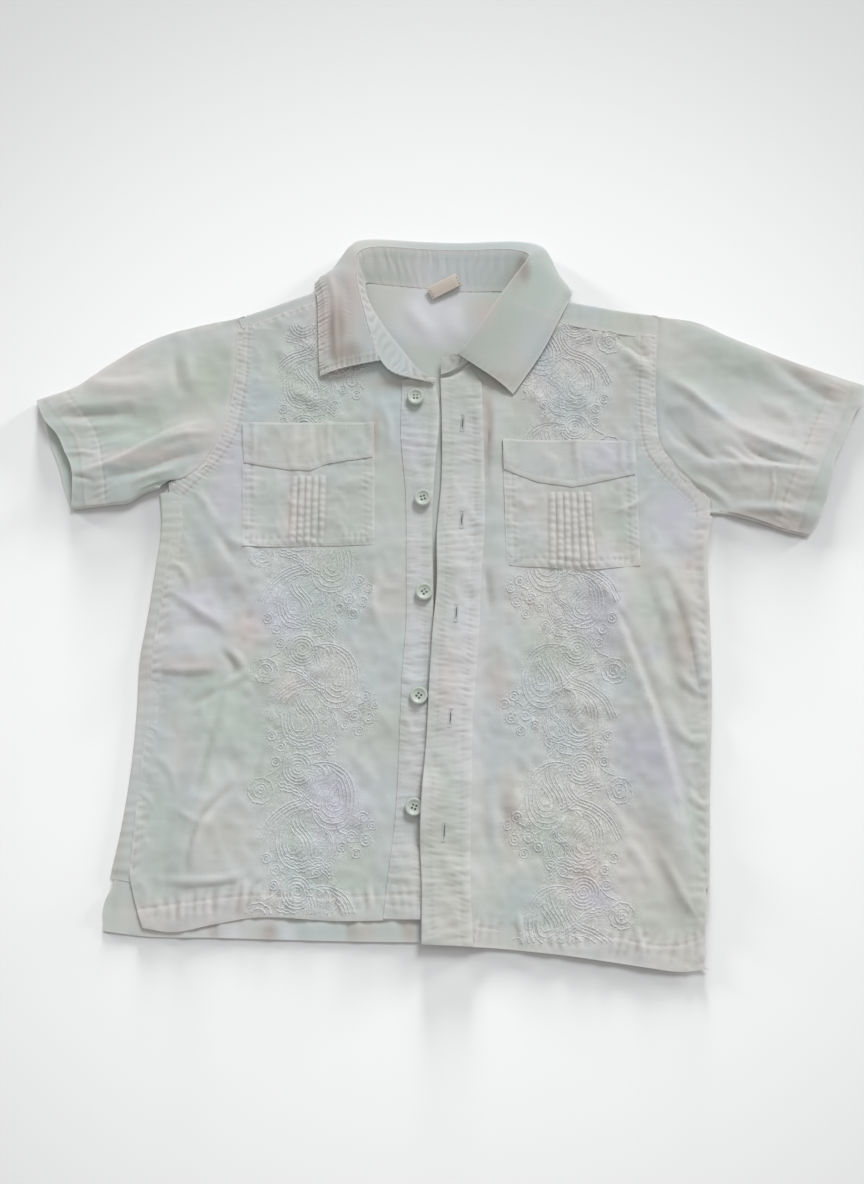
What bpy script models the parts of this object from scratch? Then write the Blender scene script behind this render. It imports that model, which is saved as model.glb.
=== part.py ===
"""A child's short-sleeved linen shirt, unbuttoned and laid flat on its back.

Sizes and places are in millimetres on the table: +X to the wearer's left, +Y towards the collar,
+Z up, with the table at z = 0. Each piece is made in metres, and the whole shirt is moved at the
end so that its origin lies under the middle of its box.

Every laid panel is cut out of one weave of square cells, each cell halved by a diagonal. The
cloth's height is set at the corners of that weave, so pieces that lie on a panel have facets
parallel to it, whatever their outlines.
"""

import math
from typing import NamedTuple

import bmesh
import bpy
from mathutils import Vector

NAME = "linen_shirt"
MM = 0.001

# Cloth
CLOTH = 1.2
GAP = 0.35
SEAM = 0.4
SLEEVE_SEAM = 0.9
WELD = 0.1
WEAVE = 16.0
BACK_WEAVE = 32.0
OUTLINE_STEP = 9.0
FOLD_RADIUS = 2.2
FOLD_STEPS = 3
NEAR = 0.01

# Heights of the middle of the cloth above the table
BACK_LEVEL = CLOTH / 2
FRONT_LEVEL = BACK_LEVEL + 1.9
COLLAR_LIFT = 1.6
COLLAR_LIFT_Y = (160.0, 192.0)
COLLAR_LIFT_X = (96.0, 128.0)
OVERLAP_LIFT = 3.4
OVERLAP_Y = (14.0, 56.0)
OVERLAP_X = (-2.0, 30.0)
BUTTON_BUMP = 2.8
BUTTON_BUMP_REACH = (30.0, 10.0)
# A fold's end keeps this share of its height, and is full this many half widths further in
FOLD_END = 0.35
FOLD_TAPER = 1.5

# Pin tucks
TUCK_HALF = 1.5
TUCK_HEIGHT = 0.8
TUCK_FOOT = 3.0

# Buttons
BUTTON_RADIUS = 5.7
BUTTON_HEIGHT = 2.4
BUTTON_STEPS = 12
# Places down the outside from the middle of the face, as shares of the radius and of the height
BUTTON_PROFILE = ((0.0, 0.62), (0.58, 0.62), (0.74, 1.0), (0.92, 1.0), (1.0, 0.55), (0.8, 0.0), (0.0, 0.0))
HOLE_RADIUS = 0.8
HOLE_OFFSET = 1.5

# Outline stretches of the silhouette, each a smooth line through its points
BACK_SIDE_FOOT = (154.5, -196)
BACK_HEM = ((-213, -205), (-189, -208), (-145, -209), (-68, -211), (30, -212), (148, -212))
LEFT_SIDE = ((154, -226), (157, -180), (160, -130), (162, -100), (164.5, -68), (165.5, -47), (166.5, -4),
             (166.5, 18), (168, 40), (172, 56))
LEFT_ARMHOLE = ((172, 56), (171, 68), (161, 80), (150, 91), (140.5, 104), (138, 126), (139, 162), (141, 184))
LEFT_SHOULDER = ((142, 199), (111, 203), (82, 208.5), (48, 219))
BACK_NECK = ((46.5, 217.2), (8, 217.2), (-15, 219.4), (-62.5, 223.5))
RIGHT_SHOULDER = ((-64, 224.5), (-91, 216), (-117, 207), (-145, 197))
RIGHT_ARMHOLE = ((-145, 191), (-145, 177), (-145, 156), (-148, 134), (-152, 115), (-162, 97), (-176, 84.5),
                 (-186.5, 79))
RIGHT_SIDE = ((-192, 72), (-190, 55), (-193, 14), (-196, -14), (-199, -38), (-199, -68), (-201, -111),
              (-205, -146), (-210, -174))
RIGHT_VENT_BACK = ((-208, -178.5), (-212, -187), (-213, -205))

# Outline stretches of the two fronts
RIGHT_FRONT_HEM = ((-188, -203), (-172, -205.5), (-145, -201), (-125, -197.5), (-68, -199), (-15, -198))
RIGHT_FRONT_EDGE = ((-15, -198), (-14, -126), (-11.5, -60), (-11.5, 5), (-12, 63), (-10, 96), (-8, 118),
                    (-8, 136), (-10, 148))
RIGHT_SEAM_END = (-144.7, 188.2)
RIGHT_NECK = ((-10, 148), (-22, 156), (-34, 171), (-46, 189), (-56, 205), (-60.5, 215))
RIGHT_SIDE_SEAM = ((-186, 74), (-184, 50), (-187, 6), (-191, -34), (-192, -68), (-195, -111), (-198, -172))
RIGHT_VENT = ((-198, -172), (-193, -190), (-188, -203))
LEFT_FRONT_HEM = ((-19, -212), (12, -214), (67, -219), (117, -226), (137, -228.5), (154, -227))
LEFT_NECK = ((43.5, 204.2), (36.5, 197), (26, 181), (14, 165.5), (1, 155), (-7, 153))
LEFT_FRONT_EDGE = ((-7, 153), (-6, 111), (-6.5, 80), (-9.5, 45), (-9.5, 12), (-12.5, -23), (-14.7, -60),
                   (-16, -87), (-19.5, -131), (-20, -150), (-19, -175), (-19, -212))

# How far the back comes over the upper layer before its seam
LEFT_STRIP = 12.4
RIGHT_STRIP = 4.5
SIDE_STRIP = 3.4

# The plackets' inner edges and tops
BUTTON_BAND_FOOT = (-42, -197.6)
BUTTON_BAND_TOP = ((-22, 154.5), (-32.5, 151))
BUTTON_BAND_INNER = ((-32.5, 151), (-33, 111), (-30, 77), (-29, 22), (-29, -15), (-31, -43), (-33, -96),
                     (-35, -137), (-40, -179), (-42, -197))
HOLE_BAND_FOOT = (12, -213.6)
HOLE_BAND_INNER = (HOLE_BAND_FOOT, (11, -180), (12, -116), (13, -78), (16, -43), (18, -15), (19, 10),
                   (22, 53), (22, 91), (21, 150))
HOLE_BAND_TOP = ((21, 150), (12, 160), (1, 153.5))

# Sleeves
RIGHT_SLEEVE_TOP = ((-146, 197), (-171, 191), (-198, 183), (-231, 163), (-253, 146), (-278, 137))
RIGHT_UNDERARM = (-187, 80.4)
RIGHT_SLEEVE_UNDER = ((-194, 75.4), (-203.5, 71.5), (-213, 65.5), (-222, 64.5), (-235, 63), (-250, 61))
RIGHT_CUFF = ((-278, 137), (-270, 121), (-262, 112), (-256, 100), (-250, 87), (-249, 74), (-250, 61))
RIGHT_CUFF_BACK = ((-278, 137), (-272, 123), (-267, 106), (-261, 92), (-256, 76), (-250, 61))
LEFT_SLEEVE_TOP = ((143, 198), (169, 193), (186, 184), (213, 172), (241, 161), (279, 148))
LEFT_SLEEVE_UNDER = ((173.4, 57), (181, 58), (200, 53), (221, 46), (234, 43))
LEFT_CUFF = ((279, 148), (278, 139), (271, 128), (261, 107), (254, 94), (250, 79), (244, 60), (234, 43))
SLEEVE_ACROSS = 14
SLEEVE_ALONG = 8
SLEEVE_LOFT = 2.5
# Shares along a sleeve: where its folds have grown round, and the reach that an edge's direction is read over
SLEEVE_ROUND = 0.15
SLEEVE_READ = 0.08

# Pockets and flaps
RIGHT_POCKET = ((-139, 113), (-136, 35), (-50, 37), (-51, 113))
RIGHT_FLAP = ((-139, 120.5), (-137, 93), (-107, 88), (-93, 87.5), (-82, 92), (-52, 97), (-51, 121))
LEFT_POCKET = ((34.5, 101), (36, 23), (60, 22), (79, 20), (96, 20), (123, 23), (123, 100))
LEFT_FLAP = ((34.5, 109), (35, 88), (58, 79.5), (80, 76), (95, 79), (122, 85), (123, 108))


class Tucks(NamedTuple):
    """Pin tucks side by side on a pocket: first and last place at its top and its bottom."""

    count: int
    top: float
    bottom: float
    top_first: float
    top_last: float
    bottom_first: float
    bottom_last: float


RIGHT_TUCKS = Tucks(5, 84.0, 35.6, -103.0, -84.5, -103.5, -85.0)
LEFT_TUCKS = Tucks(6, 73.0, 20.5, 67.0, 90.0, 66.0, 92.0)


class Fold(NamedTuple):
    """A fold of the upper cloth: its crest through three places, its height and its half width."""

    name: str
    x0: float
    y0: float
    x1: float
    y1: float
    x2: float
    y2: float
    height: float
    width: float


FOLDS = (
    Fold("right front, under the pocket", -154, 45, -138, 21, -118, 2, 3.0, 22),
    Fold("right front, across", -186, -37, -166, -34, -143, -37, 4.0, 19),
    Fold("right front, long crease", -145, -62, -153, -121, -161, -175, 3.6, 20),
    Fold("right front, curved", -130, -107, -150, -128, -166, -168, 2.4, 18),
    Fold("left front, long", 99, 30, 116, -33, 146, -172, 4.6, 24),
    Fold("left front, side", 128, 38, 147, 3, 156, -58, 3.6, 17),
    Fold("left front, hem", 130, -130, 142, -165, 150, -200, 3.4, 16),
    Fold("left front, beside the placket", 34, 148, 32, 81, 31, 0, 2.4, 17),
    Fold("left front, low beside the placket", 34, -20, 38, -77, 33, -150, 2.0, 20),
    Fold("left sleeve, ridge", 142, 153, 178, 116, 244, 90, 7.5, 24),
    Fold("left sleeve, under ridge", 158, 90, 198, 84, 250, 79, 5.5, 17),
    Fold("left sleeve, top", 165, 187, 222, 160, 272, 138, 4.5, 20),
    Fold("right sleeve, top", -274, 130, -235, 136, -180, 150, 6.0, 26),
    Fold("right sleeve, low ridge", -254, 79, -200, 99, -155, 118, 6.0, 22),
    Fold("right sleeve, under", -232, 66, -205, 76, -180, 92, 2.5, 15),
)


class Section(NamedTuple):
    """The collar cut across: neck seam, top of the stand, crest and turn of the leaf, its free edge."""

    neck: tuple
    top: tuple
    crest: tuple
    turn: tuple
    edge: tuple


# From the wearer's right front round the back to the left front
STAND_RIGHT_END = (
    Section((-10, 151, 5.7), (-11, 148.5, 5.9), None, None, None),
    Section((-22, 158, 5.6), (-24, 151, 6.4), None, None, None),
    Section((-33, 172, 5.0), (-39, 155.5, 7.2), None, None, None),
)
COLLAR = (
    Section((-40, 181, 5.2), (-47, 164, 7.6), (-62, 161, 7.4), (-75, 158, 6.6), (-88, 154, 5.8)),
    Section((-47, 191, 5.5), (-53.5, 180, 9), (-67, 180, 8.6), (-79, 180, 7.4), (-89.5, 179.5, 6.4)),
    Section((-55, 205, 5.9), (-60, 203, 11), (-72, 205, 10), (-82, 206, 8.8), (-90.5, 207, 7.2)),
    Section((-58.5, 216, 5.9), (-64, 220, 12), (-76, 225, 9.8), (-86, 224.5, 6.4), (-93, 220.5, 3.4)),
    Section((-58.8, 221, 4.4), (-64, 230, 11.6), (-74, 235, 8), (-82, 232, 2.4), (-88, 223, 0.6)),
    Section((-57, 223.9, 3.0), (-63, 241, 10.6), (-68, 248.5, 7), (-71, 243, 1.0), (-76, 214, 0.6)),
    Section((-44, 222.9, 2.5), (-50, 246.5, 8.6), (-55, 253.5, 5.6), (-54, 249.5, 0.9), (-53, 204, 0.6)),
    Section((-15, 220.2, 2.4), (-15, 245, 7.4), (-15, 251.5, 5.2), (-15, 247.5, 0.9), (-15, 203, 0.6)),
    Section((8, 218, 2.4), (10, 244.5, 7.4), (10, 251, 5.2), (10, 247, 0.9), (8, 202.5, 0.6)),
    Section((34, 218.1, 2.7), (40, 244.5, 8.8), (45, 251.5, 6.2), (46, 248, 0.9), (42, 203, 0.6)),
    Section((43.5, 217.5, 3.6), (53, 239, 12.5), (62, 247, 8), (66, 242, 1.2), (64, 205, 0.6)),
    Section((43.8, 213, 5.2), (51, 232, 14), (64, 237, 9.5), (74, 230, 3), (80, 217, 0.6)),
    Section((42.5, 208, 5.4), (46, 225, 14.8), (60, 227, 11), (73, 221, 6.8), (83.5, 214.5, 3.2)),
    Section((34.5, 198, 5.2), (30.5, 202.5, 15), (46, 204, 12.5), (62, 201, 9), (76, 198, 6.9)),
    Section((23.5, 182.5, 4.4), (18.5, 184.5, 13), (34, 182, 11), (49, 177, 8.4), (63, 172.5, 6.4)),
    Section((12, 168, 3.8), (9, 172, 10), (22, 166, 9), (36, 158.5, 7.2), (51, 154, 5.8)),
    Section((6.5, 163, 3.8), (4.5, 168.5, 8), (17, 160, 7.6), (30, 151, 6.6), (42, 141, 5.4)),
)
STAND_LEFT_END = (
    Section((0, 158, 4.0), (1.5, 169, 7.2), None, None, None),
    Section((-6.5, 155.8, 4.2), (-5.5, 169.5, 6.6), None, None, None),
)
COLLAR_STEP = 8.0
STAND_ACROSS = 2
# The leaf rises over the stand's top where it is rolled, between these sections
ROLL_RISE = 1.1
ROLL_SECTIONS = (6, 9)
LEAF_ACROSS = 8

BUTTONS = ((-23.5, 138.5), (-18.5, 68), (-17.5, 5), (-20.8, -62), (-23.5, -131))

# The neck label: a strip folded in two, its middle and its turn on the table
LABEL_MIDDLE = (-4.0, 218.5)
LABEL_LENGTH = 22.0
LABEL_DEPTH = 8.0
LABEL_ANGLE = math.radians(27.5)
LABEL_LEVEL = 4.2
LABEL_SLOPE = 0.12
LABEL_CLOTH = 1.0

# Finishes: colour, then roughness
LINEN = ((0.47, 0.52, 0.50), 0.9)
BAND_LINEN = ((0.58, 0.57, 0.54), 0.9)
PEARL = ((0.60, 0.60, 0.55), 0.35)
RIBBON = ((0.50, 0.50, 0.44), 0.7)


def smooth_line(points, step=OUTLINE_STEP):
    """Points about a step apart on a smooth line through the given points, both ends kept."""
    rows = [Vector(point) for point in points]
    chords = [(b - a).length for a, b in zip(rows, rows[1:])]
    spans = [(b - a) / chord for a, b, chord in zip(rows, rows[1:], chords)]
    slopes = [spans[0]]
    for i in range(1, len(spans)):
        total = chords[i - 1] + chords[i]
        slopes.append((spans[i] * chords[i - 1] + spans[i - 1] * chords[i]) / total)
    slopes.append(spans[-1])
    line = []
    for i, chord in enumerate(chords):
        count = max(1, round(chord / step))
        for k in range(count):
            t = k / count
            rise = t * t * (3 - 2 * t)
            line.append(rows[i] * (1 - rise) + rows[i + 1] * rise
                        + slopes[i] * chord * t * (1 - t) ** 2
                        - slopes[i + 1] * chord * t * t * (1 - t))
    line.append(rows[-1])
    return line


def share_of(line, share):
    """The place a share from 0 to 1 of the way along a line of points."""
    lengths = [(b - a).length for a, b in zip(line, line[1:])]
    left = share * sum(lengths)
    for a, b, length in zip(line, line[1:], lengths):
        if left <= length:
            return a.lerp(b, left / length)
        left -= length
    return line[-1].copy()


def moved(points, out):
    """A stretch moved out, or in where out is negative; the outside is on the right of its direction."""
    rows = [Vector(point) for point in points]
    result = []
    for i, row in enumerate(rows):
        ahead = (rows[min(i + 1, len(rows) - 1)] - rows[max(i - 1, 0)]).normalized()
        result.append(row + Vector((ahead.y, -ahead.x)) * out)
    return result


def outline(*stretches, step=OUTLINE_STEP):
    """A closed line through stretches that run counterclockwise, end to start."""
    line = []
    for stretch in stretches:
        for point in smooth_line(stretch, step):
            if not line or (point - line[-1]).length > SEAM:
                line.append(point)
    if (line[0] - line[-1]).length <= SEAM:
        line.pop()
    return line


def nearest(line, place):
    """How far off a line a place is, the nearest place on it, and the line's direction around there."""
    best = None
    for i, (a, b) in enumerate(zip(line, line[1:])):
        span = b - a
        t = min(1.0, max(0.0, (place - a).dot(span) / span.length_squared))
        spot = a + span * t
        if best is None or (place - spot).length < best[0]:
            best = ((place - spot).length, spot, i)
    distance, spot, i = best
    around = line[min(i + 3, len(line) - 1)] - line[max(i - 2, 0)]
    return distance, spot, around.normalized()


def ramp(value, start, end):
    """0 before the start, 1 past the end and even between; the end may be the lower one."""
    return min(1.0, max(0.0, (value - start) / (end - start)))


def collar_lift(x, y):
    """How much the collar's leaf, folded under the back, lifts the cloth above it."""
    return COLLAR_LIFT * min(ramp(y, *COLLAR_LIFT_Y), ramp(abs(x), COLLAR_LIFT_X[1], COLLAR_LIFT_X[0]))


def fold_height(fold, x, y):
    """How high a fold lifts the cloth at a place."""
    crest = [Vector((fold.x0, fold.y0)), Vector((fold.x1, fold.y1)), Vector((fold.x2, fold.y2))]
    place = Vector((x, y))
    distance, spot = nearest(crest, place)[:2]
    if distance >= fold.width:
        return 0.0
    reach = min((spot - crest[0]).length, (spot - crest[2]).length)
    taper = min(1.0, FOLD_END + reach / (FOLD_TAPER * fold.width))
    return fold.height * taper * (0.5 + 0.5 * math.cos(math.pi * distance / fold.width))


def back_height(x, y):
    """Height of the middle of the back's cloth."""
    return BACK_LEVEL + collar_lift(x, y)


def upper_height(x, y):
    """Height of the middle of the upper layer's cloth."""
    return FRONT_LEVEL + collar_lift(x, y) + sum(fold_height(fold, x, y) for fold in FOLDS)


def left_front_height(x, y):
    """Height of the left front, whose edge lies over the right front's below the middle."""
    lift = min(ramp(y, OVERLAP_Y[1], OVERLAP_Y[0]), ramp(x, OVERLAP_X[1], OVERLAP_X[0]))
    over_button = Vector((x - BUTTONS[4][0], y - BUTTONS[4][1])).length
    bump = BUTTON_BUMP * ramp(over_button, *BUTTON_BUMP_REACH)
    return upper_height(x, y) + OVERLAP_LIFT * lift + bump


def weave_height(height, x, y, cell=WEAVE):
    """Height on the weave's facets: its corners carry the height, and each half cell is flat."""
    i = math.floor(x / cell)
    j = math.floor(y / cell)
    a = x / cell - i
    b = y / cell - j
    low = height(i * cell, j * cell)
    high = height((i + 1) * cell, (j + 1) * cell)
    if a >= b:
        return low * (1 - a) + height((i + 1) * cell, j * cell) * (a - b) + high * b
    return low * (1 - b) + height(i * cell, (j + 1) * cell) * (b - a) + high * a


def cut_along(mesh, place, across):
    """Cuts every face of a mesh along an upright plane."""
    everything = mesh.verts[:] + mesh.edges[:] + mesh.faces[:]
    bmesh.ops.bisect_plane(mesh, geom=everything, dist=1e-4, plane_co=(place[0], place[1], 0),
                           plane_no=(across[0], across[1], 0))


def cut_out(line, height, cell=WEAVE):
    """The flat face inside a closed line, cut along the weave and laid at its height."""
    mesh = bmesh.new()
    mesh.faces.new([mesh.verts.new((point.x, point.y, 0.0)) for point in line])
    low = [math.floor(min(point[k] for point in line) / cell) for k in (0, 1)]
    high = [math.ceil(max(point[k] for point in line) / cell) for k in (0, 1)]
    for i in range(low[0] + 1, high[0]):
        cut_along(mesh, (i * cell, 0), (1, 0))
    for j in range(low[1] + 1, high[1]):
        cut_along(mesh, (0, j * cell), (0, 1))
    for k in range(low[0] - high[1] + 1, high[0] - low[1]):
        cut_along(mesh, (k * cell, 0), (1, -1))
    bmesh.ops.remove_doubles(mesh, verts=mesh.verts, dist=WELD)
    for vert in mesh.verts:
        vert.co.z = weave_height(height, vert.co.x, vert.co.y, cell)
    return mesh


def turn_over(mesh, stretch, height, reach):
    """Carries the cloth's edge along a stretch round a fold and on over the layer it meets."""
    line = smooth_line(moved(stretch, -FOLD_RADIUS))
    edges = [edge for edge in mesh.edges if edge.is_boundary
             and all(nearest(line, vert.co.xy)[0] < NEAR for vert in edge.verts)]
    start = {}
    for vert in {vert for edge in edges for vert in edge.verts}:
        ahead = nearest(line, vert.co.xy)[2]
        start[vert] = (vert.co.copy(), Vector((ahead.y, -ahead.x)))
    steps = [(math.sin(math.pi * k / FOLD_STEPS) * FOLD_RADIUS, k / FOLD_STEPS)
             for k in range(1, FOLD_STEPS + 1)]
    if reach > 0:
        steps += [(-reach / 2, 1.0), (-reach, 1.0)]
    for out, turned in steps:
        made = bmesh.ops.extrude_edge_only(mesh, edges=edges)["geom"]
        moved_on = {}
        for vert in (item for item in made if isinstance(item, bmesh.types.BMVert)):
            before = next(edge.other_vert(vert) for edge in vert.link_edges if edge.other_vert(vert) in start)
            base, away = start[before]
            place = base.xy + away * out
            share = (1 - math.cos(math.pi * turned)) / 2
            vert.co = (place.x, place.y, base.z * (1 - share) + height(place.x, place.y) * share)
            moved_on[vert] = start[before]
        edges = [item for item in made if isinstance(item, bmesh.types.BMEdge)
                 and all(vert in moved_on for vert in item.verts)]
        start = moved_on


def sheet(place, across, along, closed=False):
    """An open sheet of cells whose points are placed by their two shares from 0 to 1."""
    mesh = bmesh.new()
    bmesh.ops.create_grid(mesh, x_segments=across, y_segments=along, size=1.0)
    for vert in mesh.verts:
        vert.co = place((vert.co.x + 1) / 2, (vert.co.y + 1) / 2)
    if closed:
        bmesh.ops.remove_doubles(mesh, verts=mesh.verts, dist=NEAR)
    return mesh


def finish_of(finish, name):
    """A Principled material of one colour and roughness."""
    material = bpy.data.materials.new(name)
    material.use_nodes = True
    shader = material.node_tree.nodes["Principled BSDF"]
    shader.inputs["Base Color"].default_value = (*finish[0], 1)
    shader.inputs["Roughness"].default_value = finish[1]
    return material


def as_object(name, mesh, finish, collection):
    """Turns a mesh in millimetres into a named object in metres."""
    bmesh.ops.recalc_face_normals(mesh, faces=mesh.faces)
    bmesh.ops.scale(mesh, vec=(MM, MM, MM), verts=mesh.verts)
    data = bpy.data.meshes.new(name)
    mesh.to_mesh(data)
    mesh.free()
    data.materials.append(finish_of(finish, name))
    item = bpy.data.objects.new(name, data)
    collection.objects.link(item)
    return item


def cloth(name, mesh, collection, finish=LINEN, thickness=CLOTH):
    """An open sheet made a wall of cloth, half of it on each side of the sheet."""
    item = as_object(name, mesh, finish, collection)
    wall = item.modifiers.new("cloth", "SOLIDIFY")
    wall.thickness = thickness * MM
    wall.offset = 0.0
    return item


def laid_on(name, line, height, level, collection, finish=LINEN, tucks=None):
    """A piece that lies on a panel: its underside is the panel's facets, moved up by a level."""
    mesh = cut_out(line, height)
    crests = []
    if tucks:
        crests = cut_tucks(mesh, tucks)
    for vert in mesh.verts:
        vert.co.z += level
    flat = {vert.co.xy.to_tuple(3): vert for vert in mesh.verts}
    made = bmesh.ops.extrude_face_region(mesh, geom=mesh.faces[:])["geom"]
    for vert in (item for item in made if isinstance(item, bmesh.types.BMVert)):
        raised = flat[vert.co.xy.to_tuple(3)] in crests
        vert.co.z += CLOTH + (TUCK_HEIGHT if raised else 0.0)
    return as_object(name, mesh, finish, collection)


def cut_tucks(mesh, tucks):
    """Cuts the foot, crest and foot of each pin tuck, and returns the points on the crests."""
    for end in (tucks.top, tucks.bottom + TUCK_FOOT):
        cut_along(mesh, (0, end), (0, 1))
    crests = set()
    for k in range(tucks.count):
        share = k / (tucks.count - 1)
        top = Vector((tucks.top_first + (tucks.top_last - tucks.top_first) * share, tucks.top))
        bottom = Vector((tucks.bottom_first + (tucks.bottom_last - tucks.bottom_first) * share, tucks.bottom))
        along = (bottom - top).normalized()
        across = Vector((-along.y, along.x))
        for side in (-TUCK_HALF, 0.0, TUCK_HALF):
            cut_along(mesh, top + across * side, across)
        for vert in mesh.verts:
            beside = abs((vert.co.xy - top).dot(across))
            if beside < NEAR and tucks.bottom + TUCK_FOOT - 0.1 < vert.co.y < tucks.top - 0.1:
                crests.add(vert)
    return crests


def make_back(collection):
    """The back, with its strips over the shoulders and round the right side."""
    inner_side = moved(LEFT_SIDE, -(FOLD_RADIUS + SEAM))[1:]
    line = outline(
        BACK_HEM, [Vector(BACK_SIDE_FOOT), *inner_side], LEFT_ARMHOLE[1:],
        moved(LEFT_SHOULDER, -FOLD_RADIUS), BACK_NECK, moved(RIGHT_SHOULDER, -FOLD_RADIUS),
        RIGHT_ARMHOLE, moved(RIGHT_SIDE, -FOLD_RADIUS), RIGHT_VENT_BACK)
    mesh = cut_out(line, back_height, BACK_WEAVE)
    turn_over(mesh, LEFT_SHOULDER, upper_height, LEFT_STRIP)
    turn_over(mesh, RIGHT_SHOULDER, upper_height, RIGHT_STRIP)
    turn_over(mesh, RIGHT_SIDE, upper_height, SIDE_STRIP)
    return cloth("back_panel", mesh, collection)


def right_front_line():
    """Outline of the right front, a seam's gap inside its neighbours."""
    shoulder = moved(RIGHT_SHOULDER, -(FOLD_RADIUS + RIGHT_STRIP + SEAM))
    shoulder[-1] = Vector(RIGHT_SEAM_END)
    return outline(RIGHT_FRONT_HEM, RIGHT_FRONT_EDGE, RIGHT_NECK, shoulder, RIGHT_ARMHOLE[1:],
                   RIGHT_SIDE_SEAM, RIGHT_VENT)


def left_front_line():
    """Outline of the left front, whose side turns down to meet the back."""
    side = moved(LEFT_SIDE, -FOLD_RADIUS)
    shoulder = moved(LEFT_SHOULDER, -(FOLD_RADIUS + LEFT_STRIP + SEAM))
    shoulder[-1] = Vector(LEFT_NECK[0])
    return outline(LEFT_FRONT_HEM, side[:2], side[1:], LEFT_ARMHOLE[1:], shoulder, LEFT_NECK,
                   LEFT_FRONT_EDGE)


def make_fronts(collection):
    """The two fronts."""
    cloth("front_right", cut_out(right_front_line(), upper_height), collection)
    mesh = cut_out(left_front_line(), left_front_height)
    turn_over(mesh, LEFT_SIDE[1:], back_height, 0.0)
    cloth("front_left", mesh, collection)


def make_plackets(collection):
    """The button band on the right front and the buttonhole band on the left one."""
    level = CLOTH / 2 + GAP
    edge = moved(RIGHT_FRONT_EDGE, -SEAM)
    line = outline([Vector(BUTTON_BAND_FOOT), edge[0]], edge, [edge[-1], *BUTTON_BAND_TOP], BUTTON_BAND_INNER)
    laid_on("placket_buttons", line, upper_height, level, collection, BAND_LINEN)
    edge = moved(LEFT_FRONT_EDGE, -SEAM)
    line = outline([edge[-1], Vector(HOLE_BAND_FOOT)], HOLE_BAND_INNER, [*HOLE_BAND_TOP, edge[0]], edge)
    laid_on("placket_buttonholes", line, left_front_height, level, collection, BAND_LINEN)


def corners(points):
    """A closed line with a straight run between each two corners."""
    runs = [(a, b) for a, b in zip(points, points[1:] + points[:1])]
    return outline(*runs, step=WEAVE)


def make_pockets(collection):
    """The chest pockets with their pin tucks, and the flaps over them."""
    level = CLOTH / 2 + GAP
    laid_on("pocket_right", corners(RIGHT_POCKET), upper_height, level, collection, LINEN, RIGHT_TUCKS)
    laid_on("pocket_left", corners(LEFT_POCKET), left_front_height, level, collection, LINEN, LEFT_TUCKS)
    level += CLOTH + GAP
    laid_on("pocket_flap_right", corners(RIGHT_FLAP), upper_height, level, collection)
    laid_on("pocket_flap_left", corners(LEFT_FLAP), left_front_height, level, collection)


def away_from(line, share, middle):
    """The direction square to a line, away from a middle, at a share of the way along it."""
    along = share_of(line, min(1.0, share + SLEEVE_READ)) - share_of(line, max(0.0, share - SLEEVE_READ))
    square = Vector((along.y, -along.x)).normalized()
    return square if square.dot(share_of(line, share) - middle) > 0 else -square


def patch(armhole, cuff, top, under, down, out):
    """A place between four edges, by its share down the armhole and out along the sleeve."""
    ends = share_of(armhole, down) * (1 - out) + share_of(cuff, down) * out
    sides = share_of(top, out) * (1 - down) + share_of(under, out) * down
    corner = ((armhole[0] * (1 - down) + armhole[-1] * down) * (1 - out)
              + (cuff[0] * (1 - down) + cuff[-1] * down) * out)
    return ends + sides - corner


def make_sleeve(name, armhole, cuff, cuff_back, top, under, collection):
    """A sleeve as a flat tube: a lower layer on the table, a rounded fold, and a folded upper layer."""
    armhole, cuff, cuff_back, top, under = (smooth_line(line) for line in (armhole, cuff, cuff_back, top, under))
    turn = [k / FOLD_STEPS for k in range(1, FOLD_STEPS)]
    stations = [("lower", k / SLEEVE_ACROSS) for k in range(SLEEVE_ACROSS + 1)]
    stations += [("under", share) for share in turn]
    stations += [("upper", 1 - k / SLEEVE_ACROSS) for k in range(SLEEVE_ACROSS + 1)]
    stations += [("top", 1 - share) for share in turn]
    stations.append(stations[0])

    def place(around, out):
        layer, share = stations[round(around * (len(stations) - 1))]
        across = {"lower": share, "upper": share, "under": 1.0, "top": 0.0}[layer]
        lower = patch(armhole, cuff_back, top, under, across, out)
        upper = patch(armhole, cuff, top, under, across, out)
        away = Vector((0.0, 0.0))
        if across in (0.0, 1.0):
            middle = patch(armhole, cuff, top, under, 0.5, out)
            away = away_from(under if across == 1.0 else top, out, middle)
        radius = FOLD_RADIUS * ramp(out, 0.0, SLEEVE_ROUND)
        lower -= away * radius
        upper -= away * radius
        loft = SLEEVE_LOFT * math.sin(math.pi * across) ** 0.5 if 0 < across < 1 else 0.0
        high = upper_height(upper.x, upper.y) + loft
        if layer == "lower":
            return (lower.x, lower.y, BACK_LEVEL)
        if layer == "upper":
            return (upper.x, upper.y, high)
        flat = lower.lerp(upper, share) + away * (radius * math.sin(math.pi * share))
        turned = (1 - math.cos(math.pi * share)) / 2
        return (flat.x, flat.y, BACK_LEVEL * (1 - turned) + high * turned)

    cloth(name, sheet(place, len(stations) - 1, SLEEVE_ALONG, closed=True), collection)


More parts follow.
